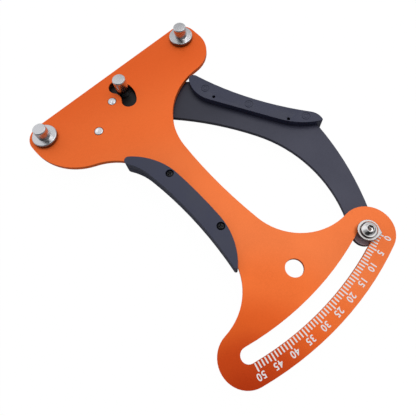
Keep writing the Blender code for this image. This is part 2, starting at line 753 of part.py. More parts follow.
def grip_shell(name, outline, steel, steel_levels, front):
    """Front or rear half of a grip: a cheek over the steel and a wall past its edge."""
    steel_bottom, steel_top = steel_levels
    middle = (steel_bottom + steel_top) / 2
    if front:
        outside = steel_top + CHEEK
        levels = (middle + FIT / 2, outside)
        pocket = (steel_bottom - OVERRUN, steel_top + FIT)
    else:
        outside = steel_bottom - CHEEK
        levels = (outside, middle - FIT / 2)
        pocket = (steel_bottom - FIT, steel_top + OVERRUN)
    shell = round_edges(flat_shape(name, [outline], *levels), outside, GRIP_EDGE)
    return cut(shell, flat_shape("pocket", [steel], *pocket))


def make_grip_screw(name, centre, seat, direction):
    """Pan-head screw whose head sits at a level and whose shank points up or down from it."""
    length = PLATE_THICK + CHEEK - GRIP_BORE_DEPTH + GRIP_SCREW_BITE
    head = [
        (0, GRIP_SCREW_HEAD_HEIGHT),
        (GRIP_SCREW_HEAD - PIVOT_CHAMFER, GRIP_SCREW_HEAD_HEIGHT),
        (GRIP_SCREW_HEAD, GRIP_SCREW_HEAD_HEIGHT - PIVOT_CHAMFER),
        (GRIP_SCREW_HEAD, 0),
        (GRIP_SCREW_RADIUS, 0),
        (GRIP_SCREW_RADIUS, -length),
        (0, -length),
    ]
    if direction > 0:
        levels = [(radius, seat - level) for radius, level in reversed(head)]
        socket = (seat - GRIP_SCREW_HEAD_HEIGHT - OVERRUN,
                  seat - GRIP_SCREW_HEAD_HEIGHT + CROSS_DEPTH)
    else:
        levels = [(radius, seat + level) for radius, level in head]
        socket = (seat + GRIP_SCREW_HEAD_HEIGHT - CROSS_DEPTH,
                  seat + GRIP_SCREW_HEAD_HEIGHT + OVERRUN)
    screw = turned_shape(name, centre, levels, SMALL_STEPS)
    recess = flat_shape("recess", [cross(centre, CROSS_SPAN, CROSS_WIDTH)], *socket)
    place(cut(screw, recess), black_steel)


def make_body_grip():
    """Fixed handle: two shells over the left edge of the neck, screwed from the front."""
    outline = body_grip_outline()
    steel = plate_outline(FIT)
    levels = (PLATE_BACK, PLATE_FRONT)
    front = grip_shell("body_grip_front", outline, steel, levels, True)
    rear = grip_shell("body_grip_rear", outline, steel, levels, False)
    bore_floor = PLATE_FRONT + CHEEK - GRIP_BORE_DEPTH
    tip = bore_floor + FIT - (PLATE_THICK + CHEEK - GRIP_BORE_DEPTH + GRIP_SCREW_BITE)
    hole = GRIP_SCREW_RADIUS + FIT
    for label, centre in zip(("upper", "lower"), body_screws()):
        cut(front, drill(centre, (GRIP_BORE_RADIUS, PLATE_FRONT + CHEEK + OVERRUN, bore_floor),
                         (hole, bore_floor, PLATE_BACK)))
        cut(rear, drill(centre, (hole, PLATE_FRONT, tip - FIT)))
        make_grip_screw(f"body_grip_screw_{label}", centre, bore_floor + FIT, -1)
    place(front, grip_plastic)
    place(rear, grip_plastic)


def make_lever_grip():
    """Moving handle: two shells over the outer edge of the lever, screwed from the back."""
    outline = lever_grip_outline()
    steel = lever_outline(FIT)
    levels = (LEVER_BACK, LEVER_FRONT)
    front = grip_shell("lever_grip_front", outline, steel, levels, True)
    rear = grip_shell("lever_grip_rear", outline, steel, levels, False)
    bore_floor = GRIP_BORE_DEPTH
    tip = bore_floor - FIT + PLATE_THICK + CHEEK - GRIP_BORE_DEPTH + GRIP_SCREW_BITE
    hole = GRIP_SCREW_RADIUS + FIT
    for label, centre in zip(("upper", "lower"), lever_screws()):
        cut(rear, drill(centre, (hole, LEVER_FRONT, bore_floor),
                        (GRIP_BORE_RADIUS, bore_floor, -OVERRUN)))
        cut(front, drill(centre, (VENT_RADIUS, LEVER_FRONT + CHEEK + OVERRUN, tip + FIT),
                         (hole, tip + FIT, LEVER_BACK)))
        make_grip_screw(f"lever_grip_screw_{label}", centre, bore_floor - FIT, 1)
    place(front, grip_plastic)
    place(rear, grip_plastic)


def make_lever():
    """Lever with the holes for its post, stud, pointer and screws."""
    holes = [circle((0, 0), PIVOT_RADIUS + FIT)]
    holes.append(circle(polar(MOVING_POST_SWING_RADIUS, MOVING_POST_ANGLE), STUD_RADIUS + FIT))
    holes.append(circle(polar(LEVER_STUD_SWING_RADIUS, LEVER_STUD_ANGLE), LEVER_STUD_RADIUS + FIT))
    holes.append(circle(polar(POINTER_RADIUS, POINTER_ANGLE), STUD_RADIUS + FIT))
    holes += [circle(centre, GRIP_SCREW_RADIUS + FIT) for centre in lever_screws()]
    place(flat_shape("lever_arm", [lever_outline(), *holes], LEVER_BACK, LEVER_FRONT),
          charcoal_paint)


def make_moving_post():
    """Post that stands on the lever and comes up through the window."""
    centre = polar(MOVING_POST_SWING_RADIUS, MOVING_POST_ANGLE)
    top = PLATE_FRONT + POST_HEIGHT
    seat = LEVER_FRONT + FIT
    nut_top = LEVER_BACK - FIT
    nut_bottom = nut_top - THIN_NUT_HEIGHT
    end = nut_bottom - STUD_CHAMFER
    profile = [
        (0, top),
        (MOVING_POST_RADIUS - POST_CHAMFER, top),
        (MOVING_POST_RADIUS, top - POST_CHAMFER),
        (MOVING_POST_RADIUS, seat),
        (STUD_RADIUS, seat),
        (STUD_RADIUS, end + STUD_CHAMFER),
        (STUD_RADIUS - STUD_CHAMFER, end),
        (0, end),
    ]
    place(turned_shape("moving_post", centre, profile, POST_STEPS), bright_steel)
    make_nut("moving_post_nut", centre, nut_bottom, nut_top)


def make_pointer():
    """Bush in the slot, washer with a pointed tip, button-head screw and nut."""
    centre = polar(POINTER_RADIUS, POINTER_ANGLE)
    bush = SLOT_WIDTH / 2 - FIT
    bush_top = PLATE_FRONT + SPACER_TOP
    make_washer("pointer_spacer", centre, STUD_RADIUS, bush, LEVER_FRONT + FIT, bush_top)
    tip = (centre[0] + POINTER_TIP_LENGTH * math.cos(POINTER_TIP_ANGLE),
           centre[1] + POINTER_TIP_LENGTH * math.sin(POINTER_TIP_ANGLE))
    rim = belt([(*centre, POINTER_WASHER_RADIUS), (*tip, POINTER_TIP_RADIUS)])
    washer_bottom = bush_top + FIT
    washer_top = washer_bottom + POINTER_WASHER_THICK
    washer = flat_shape("pointer_washer", [rim, circle(centre, STUD_RADIUS + FIT)],
                        washer_bottom, washer_top)
    place(washer, bright_steel)
    seat = washer_top + FIT
    head = seat + POINTER_HEAD_HEIGHT
    dome_height = POINTER_HEAD_HEIGHT - POINTER_HEAD_EDGE
    dome_width = POINTER_HEAD_RADIUS - POINTER_HEAD_FLAT
    profile = [(0, head)]
    for i in range(DOME_ARCS + 1):
        angle = FULL_TURN / 4 * i / DOME_ARCS
        profile.append((POINTER_HEAD_FLAT + dome_width * math.sin(angle),
                        seat + POINTER_HEAD_EDGE + dome_height * math.cos(angle)))
    profile += [
        (POINTER_HEAD_RADIUS, seat),
        (STUD_RADIUS, seat),
        (STUD_RADIUS, STUD_CHAMFER),
        (STUD_RADIUS - STUD_CHAMFER, 0),
        (0, 0),
    ]
    screw = turned_shape("pointer_screw", centre, profile, POST_STEPS)
    socket = flat_shape("socket", [hexagon(centre, POINTER_SOCKET)],
                        head - POINTER_SOCKET_DEPTH, head + OVERRUN)
    place(cut(screw, socket), bright_steel)
    nut_top = LEVER_BACK - FIT
    make_nut("pointer_nut", centre, nut_top - THIN_NUT_HEIGHT, nut_top)


def main():
    """Model every part in an emptied scene."""
    for obj in list(bpy.data.objects):
        bpy.data.objects.remove(obj)
    bpy.context.scene.collection.children.link(parts)
    bpy.context.scene.collection.children.link(cutters)
    make_plate()
    make_fixed_post("left", LEFT_POST_X)
    make_fixed_post("right", LEFT_POST_X + POST_SPAN)
    make_pivot()
    make_spring_studs()
    make_spring()
    make_body_grip()
    make_lever()
    make_moving_post()
    make_lever_grip()
    make_pointer()


main()
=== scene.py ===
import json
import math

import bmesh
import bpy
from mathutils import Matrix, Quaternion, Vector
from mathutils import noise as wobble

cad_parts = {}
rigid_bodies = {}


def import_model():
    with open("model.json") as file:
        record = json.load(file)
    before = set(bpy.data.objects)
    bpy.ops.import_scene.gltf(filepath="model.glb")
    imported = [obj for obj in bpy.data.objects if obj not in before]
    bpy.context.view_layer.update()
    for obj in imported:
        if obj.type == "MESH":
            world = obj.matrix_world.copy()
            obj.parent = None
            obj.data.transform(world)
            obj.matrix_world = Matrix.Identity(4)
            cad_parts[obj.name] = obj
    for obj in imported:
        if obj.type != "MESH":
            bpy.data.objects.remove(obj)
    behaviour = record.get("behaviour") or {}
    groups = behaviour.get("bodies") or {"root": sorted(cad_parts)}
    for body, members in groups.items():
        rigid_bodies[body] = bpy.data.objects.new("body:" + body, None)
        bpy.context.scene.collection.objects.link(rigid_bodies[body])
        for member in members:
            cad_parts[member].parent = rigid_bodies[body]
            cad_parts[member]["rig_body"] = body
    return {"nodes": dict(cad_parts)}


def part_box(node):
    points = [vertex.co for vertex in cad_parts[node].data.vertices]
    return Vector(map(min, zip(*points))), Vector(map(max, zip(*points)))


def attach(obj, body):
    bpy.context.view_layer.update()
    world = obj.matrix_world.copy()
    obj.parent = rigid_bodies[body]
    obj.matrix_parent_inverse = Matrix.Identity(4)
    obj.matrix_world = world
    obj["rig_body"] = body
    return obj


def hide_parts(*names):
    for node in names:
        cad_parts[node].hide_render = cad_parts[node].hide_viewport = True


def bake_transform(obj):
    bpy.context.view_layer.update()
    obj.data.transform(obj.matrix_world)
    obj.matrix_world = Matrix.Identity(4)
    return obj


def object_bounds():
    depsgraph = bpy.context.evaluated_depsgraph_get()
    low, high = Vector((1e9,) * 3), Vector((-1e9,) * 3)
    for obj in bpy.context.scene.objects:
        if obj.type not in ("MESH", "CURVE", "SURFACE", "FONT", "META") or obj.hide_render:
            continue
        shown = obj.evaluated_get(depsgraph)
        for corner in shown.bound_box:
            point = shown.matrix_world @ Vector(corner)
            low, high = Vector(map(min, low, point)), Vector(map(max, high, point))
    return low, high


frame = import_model()

# %% [markdown]
# # Dressing a spoke tension meter
# The tool is a coated steel plate with two fixed posts, and a lever whose third post comes up
# through a curved window between them. A pointer at the lever's far end runs along a scale in
# the foot of the plate. The solids are already loaded above, each at its own place in one
# frame, in metres, with Z up from the surface that the tool lies on.
#
# This script keeps every place and size of those solids. It gives them rounded edges, turned steel,
# moulded and printed detail, and finishes made of nodes. We first note the box of the whole tool.

solid_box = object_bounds()
nodes = frame["nodes"]
size = solid_box[1] - solid_box[0]
print("solids:", len(nodes), "size in mm:", [round(1000 * length, 1) for length in size])

# %% [markdown]
# ## Where things are
# Most pieces below sit on the axis of a solid, so one small helper reads that axis and the
# levels of the solid's two ends. Reading them keeps the looks in step with the solids when a
# size changes, where typed numbers would drift apart from them.

# %% Axis and ends of a solid
MM = 0.001


def ends(node):
    """Middle of a solid seen from above, and the levels of its lower and upper end."""
    low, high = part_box(node)
    middle = (low + high) / 2
    return (middle.x, middle.y), low.z, high.z


plate_back, plate_front = ends("body_plate")[1:]
print("the plate lies between", round(plate_back / MM, 2), "and", round(plate_front / MM, 2), "mm")

# %% [markdown]
# ## Finishes from nodes
# A finish here is a Principled shader with a little noise on its roughness and its bump, since
# no coated or machined surface is perfectly even. The noise reads Object coordinates, which
# are metres on these pieces, so a scale of 2000 makes grains of about half a millimetre.
# What is the same everywhere on a finish, such as its metalness, is set straight on the
# shader's own sockets.

# %% A helper that builds a finish
def shader_of(material):
    """Principled shader of a finish."""
    return material.node_tree.nodes["Principled BSDF"]


def finish(name, colour, roughness, metallic=0.0, mirror=0.5):
    """Material with a Principled shader, whose even values are set on its own sockets."""
    made = bpy.data.materials.new(name)
    made.use_nodes = True
    for socket, value in (("Base Color", (*colour, 1)), ("Roughness", roughness),
                          ("Metallic", metallic), ("Specular IOR Level", mirror)):
        shader_of(made).inputs[socket].default_value = value
    return made


def fill(tree, socket, value):
    """Link the output of a node to a socket, or set the socket to a plain value."""
    if isinstance(value, bpy.types.NodeSocket):
        tree.links.new(value, socket)
    else:
        socket.default_value = value


def add(material, kind, label, **inputs):
    """Node of a material or world, with its inputs set or linked by name."""
    node = material.node_tree.nodes.new(kind)
    node.label = label
    for key, value in inputs.items():
        fill(material.node_tree, node.inputs[key.replace("_", " ")], value)
    return node


# %% [markdown]
# Grain and blotches are two sizes of the same noise. The fine one makes the bump of a powder coat
# or a moulded skin. The coarse one changes roughness and colour over centimetres, as handling and
# uneven spraying do. Painted shade and light are local: each is a colour laid over the finish
# inside a flat ellipsoid, with a soft edge.

# %% Grain, blotches, bump, and painted shade and light
def place_of(material, centre=(0, 0, 0), scale=(1, 1, 1)):
    """Object coordinates, moved and scaled by a Mapping node."""
    spot = add(material, "ShaderNodeTexCoord", "place on the piece")
    mapping = add(material, "ShaderNodeMapping", "centre and scale", Vector=spot.outputs["Object"],
                  Scale=scale, Location=[-c * s for c, s in zip(centre, scale)])
    return mapping.outputs["Vector"]


def noise(material, label, vector, scale, detail=3.0):
    """Noise as a value from 0 to 1."""
    made = add(material, "ShaderNodeTexNoise", label, Vector=vector, Scale=scale, Detail=detail)
    return made.outputs["Fac"]


def spread(material, label, value, low, high, floor=0.3, ceiling=0.7):
    """Value carried from its own range to another one."""
    made = add(material, "ShaderNodeMapRange", label, Value=value, From_Min=floor,
               From_Max=ceiling, To_Min=low, To_Max=high)
    return made.outputs["Result"]


def bump(material, label, height, distance, strength=1.0, below=None):
    """Bump from a height, on top of another bump where one is given."""
    made = add(material, "ShaderNodeBump", label, Height=height, Distance=distance,
               Strength=strength)
    if below is not None:
        material.node_tree.links.new(below, made.inputs["Normal"])
    return made.outputs["Normal"]


def wire(material, output, socket):
    """Link an output to a socket of the finish's shader."""
    material.node_tree.links.new(output, shader_of(material).inputs[socket])


def tint(material, label, value, first, last):
    """Colour between two, by a value from 0 to 1. Each is a colour or the output of a node."""
    made = add(material, "ShaderNodeMix", label)
    made.data_type = "RGBA"
    material.node_tree.links.new(value, made.inputs[0])
    for socket, colour in ((made.inputs[6], first), (made.inputs[7], last)):
        is_plain = isinstance(colour, (list, tuple))
        fill(material.node_tree, socket, (*colour, 1) if is_plain else colour)
    return made.outputs[2]


def colour_of(material):
    """Output that gives a finish its colour so far."""
    return shader_of(material).inputs["Base Color"].links[0].from_socket


def beyond(material, label, centre, width, height, low=0.85):
    """Share from 0 inside an ellipsoid, its half sizes in mm, to 1 outside. It rises from low."""
    scale = (1 / (width * MM), 1 / (width * MM), 1 / (height * MM))
    far = add(material, "ShaderNodeVectorMath", label, Vector=place_of(material, centre, scale))
    far.operation = "LENGTH"
    return spread(material, label + " share", far.outputs["Value"], 0.0, 1.0, low, 1.0)


def stain(material, label, centre, width, height, colour, low=0.85):
    """Lay a colour over a finish inside an ellipsoid, its half sizes in mm, as painted shade and
    light.
    """
    share = beyond(material, label, centre, width, height, low)
    wire(material, tint(material, label, share, colour, colour_of(material)), "Base Color")


# %% [markdown]
# ## Coats
# The plate has a satin orange coat with some metal in it: under the colour lies a bright base that
# mirrors the light softly. Its colour also carries painted shade and a painted highlight: it is
# deeper and redder round the end of the foot, as painted shade, and palest across the middle, as a
# painted highlight. So a Color Ramp reads the distance from that end, and its colour is multiplied
# by the flecks.
# The lever's coat is charcoal, with the same fine grain, and painted shade makes it deeper towards
# the pivot.
#
# Painted shade darkens the walls of the window and the lever below it, and painted light makes the
# end of the lever pale below the pointer. The ellipsoids of these marks are too flat to reach the
# other faces.

# %% Orange coat and charcoal coat
PAINTED_SHADE_PLACE = (-0.062, -0.206, 0.0)      # end of the foot where the orange is deepest
ORANGE_REACH = 250                      # distance from there, in mm, where its ramp ends


def satin_coat(name, dark, light, metallic, roughness, mirror):
    """Coat with fine grain, flecks and faint blotches."""
    made = finish(name, light, roughness, metallic, mirror)
    vector = place_of(made)
    blotch = noise(made, "uneven spraying", vector, 35.0)
    grain = noise(made, "grain of the coat", vector, 2600.0, 2.0)
    fleck = noise(made, "flecks in the coat", vector, 1500.0, 2.0)
    wire(made, spread(made, "gloss", blotch, roughness + 0.04, roughness - 0.03), "Roughness")
    wire(made, bump(made, "grain height", grain, 0.00003, 0.5), "Normal")
    mottled = tint(made, "flecks", spread(made, "fleck share", fleck, 0.0, 1.0), dark, light)
    wire(made, tint(made, "blotches", spread(made, "blotch share", blotch, 0.0, 0.6),
                    mottled, light), "Base Color")
    return made


# Distance from the deepest place, in mm, and the colour there, with its painted shade and highlight
PAINTED_LIGHT_ORANGES = ((14, (0.5, 0.041, 0.0036)), (30, (0.61, 0.064, 0.007)), (46, (0.76, 0.114, 0.015)),
           (68, (0.85, 0.165, 0.032)), (95, (0.81, 0.186, 0.049)), (145, (0.81, 0.175, 0.043)),
           (190, (0.88, 0.162, 0.032)), (242, (0.82, 0.127, 0.02)))

orange_coat = satin_coat("orange_satin_coat", (0.93, 0.9, 0.86), (1, 1, 1), 0.25, 0.4, 0.08)
# The ramp paints shade deep round the foot and a highlight across the middle of the plate.
painted_light_oranges = add(orange_coat, "ShaderNodeValToRGB", "painted_light_oranges",
              Fac=beyond(orange_coat, "way from the end of the foot", PAINTED_SHADE_PLACE,
                         ORANGE_REACH, ORANGE_REACH, 0.0))
painted_light_oranges.color_ramp.interpolation = "EASE"
while len(painted_light_oranges.color_ramp.elements) < len(PAINTED_LIGHT_ORANGES):
    painted_light_oranges.color_ramp.elements.new(1.0)
for stop, (distance, colour) in zip(painted_light_oranges.color_ramp.elements, PAINTED_LIGHT_ORANGES):
    stop.position = distance / ORANGE_REACH
    stop.color = (*colour, 1)
flecked = add(orange_coat, "ShaderNodeVectorMath", "oranges with flecks",
              Vector=colour_of(orange_coat))
flecked.operation = "MULTIPLY"
orange_coat.node_tree.links.new(painted_light_oranges.outputs["Color"], flecked.inputs[1])
wire(orange_coat, flecked.outputs["Vector"], "Base Color")

charcoal_coat = satin_coat("charcoal_satin_coat", (0.0273, 0.0287, 0.0539),
                           (0.0371, 0.0385, 0.0707), 0.0, 0.45, 0.32)

window_place = ends("moving_post")[0]
slot_place = ends("pointer_screw")[0]
lever_back, lever_front = ends("lever_arm")[1:]
# Painted shade, darkening the lever towards the pivot.
stain(charcoal_coat, "painted shade at the root", (0, 0, 0), 140, 140, (0.003, 0.003, 0.005), -0.3)
# Painted shade on the walls of the window and on the lever below it.
stain(orange_coat, "painted shade in the window", (*window_place, plate_back + 1.1 * MM), 18, 1.4,
      (0.06, 0.02, 0.01))
stain(charcoal_coat, "painted shade below the window", (*window_place, lever_front), 18, 1.5,
      (0.0015, 0.0016, 0.002))
# Painted light, making the end of the lever pale below the pointer.
stain(charcoal_coat, "painted light at the end", (*slot_place, lever_front), 9, 0.35, (0.52, 0.45, 0.51))
print("coats:", orange_coat.name, charcoal_coat.name)

# %% [markdown]
# ## Moulded handles
# The handle shells are moulded in a dark blue-grey plastic. A spark-eroded mould leaves a
# fine pebbled skin, which is coarser and rougher than a coat.

# %% Moulded plastic
PLASTIC_DARK = (0.0216, 0.0252, 0.054)
PLASTIC_LIGHT = (0.03, 0.0336, 0.0684)

plastic = finish("moulded_handle_plastic", PLASTIC_LIGHT, 0.5, 0.0, 0.38)
vector = place_of(plastic)
pebble = add(plastic, "ShaderNodeTexVoronoi", "pebbles of the mould", Vector=vector, Scale=2400.0)
handling = noise(plastic, "handling", vector, 60.0)
wire(plastic, tint(plastic, "plastic colour", spread(plastic, "tone", handling, 0.0, 1.0),
                   PLASTIC_DARK, PLASTIC_LIGHT), "Base Color")
wire(plastic, spread(plastic, "polish by the hand", handling, 0.44, 0.56), "Roughness")
wire(plastic, bump(plastic, "pebble height", pebble.outputs["Distance"], 0.00003, 0.35), "Normal")
print("plastic:", plastic.name)

# %% [markdown]
# ## Steels
# A turned face shows fine rings round its axis, left by the tool. We draw them with a Wave
# texture set to rings round Z, and bring its middle onto each part's axis with a Mapping node.
# Ground and rolled steel only has a faint uneven gloss, and blackened screws are rough.

# %% Turned, plain and blackened steel
def turned_steel(name, centre, colour=(0.62, 0.62, 0.63), roughness=0.24):
    """Steel with turning rings round an axis."""
    made = finish(name, colour, roughness, 1.0)
    vector = place_of(made, (*centre, 0))
    rings = add(made, "ShaderNodeTexWave", "turning rings", Vector=vector, Scale=450.0,
                Distortion=2.0, Detail=2.0)
    rings.wave_type = "RINGS"
    rings.rings_direction = "Z"
    patch = noise(made, "uneven cut", vector, 900.0)
    wire(made, tint(made, "tone of the rings", spread(made, "ring share", rings.outputs["Fac"],
                                                      0.0, 1.0, 0.2, 0.8),
                    [0.84 * c for c in colour], colour), "Base Color")
    wire(made, spread(made, "gloss of the cut", patch, roughness - 0.05, roughness + 0.1),
         "Roughness")
    low = bump(made, "uneven height", patch, 0.000008, 0.16)
    wire(made, bump(made, "ring height", rings.outputs["Fac"], 0.000006, 0.3, low), "Normal")
    return made


def plain_steel(name, colour, roughness, metallic=1.0, scale=500.0):
    """Steel or another plain surface with an uneven gloss and no rings."""
    made = finish(name, colour, roughness, metallic)
    vector = place_of(made)
    patch = noise(made, "uneven gloss", vector, scale)
    wire(made, tint(made, "tone", spread(made, "tone share", patch, 0.0, 1.0),
                    [0.85 * c for c in colour], colour), "Base Color")
    wire(made, spread(made, "gloss", patch, roughness - 0.05, roughness + 0.08), "Roughness")
    wire(made, bump(made, "uneven height", patch, 0.000008, 0.25), "Normal")
    return made


zinc_steel = plain_steel("zinc_plated_steel", (0.6, 0.6, 0.61), 0.3)
peened_steel = plain_steel("peened_steel", (0.7, 0.7, 0.72), 0.4, 1.0, 900.0)
polished_steel = plain_steel("polished_steel", (0.85, 0.84, 0.83), 0.1, 1.0, 300.0)
black_steel = plain_steel("blackened_steel", (0.012, 0.012, 0.014), 0.38, 0.5)
spring_steel = plain_steel("spring_wire_steel", (0.42, 0.42, 0.43), 0.28)
pointer_steel = plain_steel("ground_pointer_steel", (0.4, 0.385, 0.38), 0.36)
bush_metal = plain_steel("anodised_bush", (0.17, 0.14, 0.16), 0.5, 0.0)
white_ink = plain_steel("white_scale_ink", (0.9, 0.86, 0.85), 0.55, 0.0, 1500.0)
print("steels:", [m.name for m in (zinc_steel, peened_steel, polished_steel, black_steel)])

# %% [markdown]
# ## From modifiers to a plain mesh
# A solid's mesh is loose triangles with knife edges. No real edge is that sharp: a deburred
# plate has a small round that catches the light as a thin line. We copy the mesh, weld it,
# merge its flat triangles into whole faces, and let a Bevel modifier round the sharp edges.
# A Weighted Normal modifier then keeps the large faces flat in the shading. The result is turned
# into a plain mesh.

# %% Rounded copies of the solids
SEAT_GAP = 0.3 * MM     # left between two pieces that seat on each other


def link(name, data):
    """Object of a mesh, curve, lamp or camera, in the scene."""
    obj = bpy.data.objects.new(name, data)
    bpy.context.scene.collection.objects.link(obj)
    return obj


def built(name, shape):
    """Mesh of a finished bmesh."""
    mesh = bpy.data.meshes.new(name)
    shape.to_mesh(mesh)
    shape.free()
    return mesh


def settle(obj, material=None):
    """Turn an object with its modifiers into a plain mesh, with one material."""
    graph = bpy.context.evaluated_depsgraph_get()
    graph.update()
    mesh = bpy.data.meshes.new_from_object(obj.evaluated_get(graph),
                                           preserve_all_data_layers=True, depsgraph=graph)
    name = obj.name
    old = obj.data
    bpy.data.objects.remove(obj)
    if old.users == 0 and isinstance(old, bpy.types.Mesh):
        bpy.data.meshes.remove(old)
    mesh.name = name
    if material is not None:
        mesh.materials.clear()
        mesh.materials.append(material)
    return link(name, mesh)


def welded(node):
    """Mesh of a solid, welded, with its flat triangles merged into faces."""
    shape = bmesh.new()
    shape.from_mesh(nodes[node].data)
    bmesh.ops.remove_doubles(shape, verts=shape.verts, dist=0.000002)
    bmesh.ops.dissolve_limit(shape, angle_limit=math.radians(0.4), verts=shape.verts,
                             edges=shape.edges)
    return built(node, shape)


def round_off(obj, width, segments=2, angle=35):
    """Bevel the sharp edges of an object and keep its large faces flat in the shading."""
    obj.data.shade_smooth()
    bevel = obj.modifiers.new("Round", "BEVEL")
    bevel.limit_method = "ANGLE"
    bevel.angle_limit = math.radians(angle)
    bevel.width = width
    bevel.segments = segments
    even = obj.modifiers.new("Even", "WEIGHTED_NORMAL")
    even.keep_sharp = True
    return obj


def dress(obj, slot, *stood_for):
    """Let a piece ride on the body of the solids that it stands for, and hide those."""
    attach(obj, nodes[stood_for[0]]["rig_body"])
    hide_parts(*stood_for)
    return obj


def rounded(node, name, width, material, slot):
    """Copy of a solid with rounded edges, riding on the solid's own body."""
    return dress(settle(round_off(link(name, welded(node)), width), material), slot, node)


# %% [markdown]
# ## Plate and lever
# Both are flat blanks cut from 3 mm steel. Their outlines, windows and slots come from the
# solids, so all that is missing is the small round that deburring and coating leave.

# %% Plate and lever
rounded("body_plate", "plate", 0.25 * MM, orange_coat, "orange_paint")
rounded("lever_arm", "lever", 0.25 * MM, charcoal_coat, "charcoal_paint")

# %% [markdown]
# ## Camera
# The photograph was taken from above the scale end, and the camera was tilted and turned a
# little. The place, the point aimed at and the roll come from matching the outline of the
# plate, and the lens fits the square picture.

# %% Camera
CAMERA_PLACE = Vector((-0.0503, -0.1763, 0.2335))
CAMERA_AIM = Vector((-0.00424, -0.10639, 0.0117))
CAMERA_ROLL = math.radians(-9.19)
CAMERA_LENS = 32.94     # mm, on a sensor 36 mm wide

camera_data = bpy.data.cameras.new("camera")
camera_data.sensor_width = 36
camera_data.lens = CAMERA_LENS
camera_data.clip_start = 0.01
camera_data.clip_end = 20
camera = link("camera", camera_data)
look = (CAMERA_AIM - CAMERA_PLACE).to_track_quat("-Z", "Y")
camera.rotation_mode = "QUATERNION"
camera.rotation_quaternion = look @ Quaternion((0, 0, 1), CAMERA_ROLL)
camera.location = CAMERA_PLACE
bpy.context.scene.camera = camera
bpy.context.scene.view_settings.view_transform = "Standard"
print("camera to plate:", round((CAMERA_AIM - CAMERA_PLACE).length / MM), "mm")

# %% [markdown]
# ## Turned parts
# Posts, rivets, studs and screws are made on a lathe, so we make them the same way: a profile
# of radius and level is carried round the axis. Spin or the Screw modifier could do it too,
# but building the rings of vertices directly gives clean poles and faces that point
# outwards. Each corner of the profile is first turned into a small arc.

# %% A lathe
def soften(profile, edge, arcs=3):
    """Profile with each of its inner corners turned into a small arc."""
    points = [Vector(point) for point in profile]
    made = [points[0]]
    for before, corner, after in zip(points, points[1:], points[2:]):
        back = before - corner
        ahead = after - corner
        reach = min(edge, 0.45 * back.length, 0.45 * ahead.length)
        start = corner + back.normalized() * reach
        stop = corner + ahead.normalized() * reach
        for i in range(arcs + 1):
            t = i / arcs
            made.append(start * (1 - t) ** 2 + corner * 2 * t * (1 - t) + stop * t ** 2)
    return made + [points[-1]]


def ring(shape, centre, radius, level, steps):
    """Ring of vertices round an axis, or one vertex on it."""
    angles = [2 * math.pi * i / steps for i in range(steps if radius > 0 else 1)]
    return [shape.verts.new((centre[0] + radius * math.cos(angle),
                             centre[1] + radius * math.sin(angle), level)) for angle in angles]


def bridge(shape, upper, lower):
    """Faces between two rings, either of which may be one vertex."""
    steps = max(len(upper), len(lower))
    for i in range(steps):
        j = (i + 1) % steps
        if len(upper) == 1:
            shape.faces.new((upper[0], lower[i], lower[j]))
        elif len(lower) == 1:
            shape.faces.new((upper[i], lower[0], upper[j]))
        else:
            shape.faces.new((upper[i], lower[i], lower[j], upper[j]))


def lathe(name, centre, profile, steps=64):
    """Closed turned solid, its profile going from the top centre out and down to the bottom."""
    shape = bmesh.new()
    rings = [ring(shape, centre, radius, level, steps) for radius, level in profile]
    for upper, lower in zip(rings, rings[1:]):
        bridge(shape, upper, lower)
    mesh = built(name, shape)
    mesh.shade_smooth()
    return link(name, mesh)


# %% [markdown]
# ## Posts
# The spoke is laid over the two fixed posts and under the middle one. Each fixed post has a
# broad flange that sits on the plate and a threaded stud that goes through it. The middle
# post has no flange above the plate: it stands on the lever and comes up through the window.
# A thread is a helix, but at this size plain grooves look the same and stay closed.

# %% Fixed posts and moving post
STUD_RADIUS = 3.0 * MM
PITCH = 1.0 * MM
THREAD_DEPTH = 0.35 * MM
STUD_CHAMFER = 0.4 * MM
POST_RADIUS = 4.55 * MM
MOVING_POST_RADIUS = 4.6 * MM
POST_CHAMFER = 0.5 * MM
FLANGE_RADIUS = 8.55 * MM
FLANGE_TOP = plate_front + 2.9 * MM
FLANGE_EDGE = 0.4 * MM
TURNED_EDGE = 0.15 * MM     # what deburring takes off a turned corner
TURNED_STEPS = 72


def stud(start, low):
    """Profile of a threaded stud, from the level where it leaves its seat to its end."""
    points = [(STUD_RADIUS, start)]
    level = start - PITCH / 2
    while level - PITCH > low + STUD_CHAMFER:
        points += [(STUD_RADIUS, level), (STUD_RADIUS - THREAD_DEPTH, level - PITCH / 2)]
        level -= PITCH
    return points + [(STUD_RADIUS, level), (STUD_RADIUS, low + STUD_CHAMFER),
                     (STUD_RADIUS - STUD_CHAMFER, low), (0, low)]


def turned_post(node, name, radius, seat, flange=()):
    """Post on its stud, with turning rings round its own axis, and painted shade and a dark reddish
    painted reflection on its wall low down.
    """
    centre, low, high = ends(node)
    profile = [(0, high), (radius - POST_CHAMFER, high), (radius, high - POST_CHAMFER),
               *(flange or [(radius, seat)]), *stud(seat, low)]
    post = lathe(name, centre, soften(profile, TURNED_EDGE), TURNED_STEPS)
    steel = turned_steel(f"turned_steel_{name}", centre)
    # Painted shade and reflection darken the post's wall and flange low down.
    stain(steel, "painted shade and reflection low on the wall", (*centre, plate_front + 1.2 * MM), 30, 1.35, (0.2, 0.16, 0.16))
    post.data.materials.append(steel)
    return dress(post, "bright_steel", node)


seat = plate_front + SEAT_GAP
for side in ("left", "right"):
    turned_post(f"fixed_post_{side}", f"post_{side}", POST_RADIUS, seat, (
        (POST_RADIUS, FLANGE_TOP), (FLANGE_RADIUS - 0.45 * MM, FLANGE_TOP),
        (FLANGE_RADIUS, FLANGE_TOP - FLANGE_EDGE), (FLANGE_RADIUS, seat)))
turned_post("moving_post", "post_moving", MOVING_POST_RADIUS, lever_front + SEAT_GAP)

# %% [markdown]
# ## Rivet and studs
# The lever turns on a rivet. Its end was hammered over, so it is a low uneven dome with a
# nick at one side. We make it on the lathe too and then push its vertices about with noise.
# The stud that holds the spring was pressed, so its end is a disc with a shallow dish.

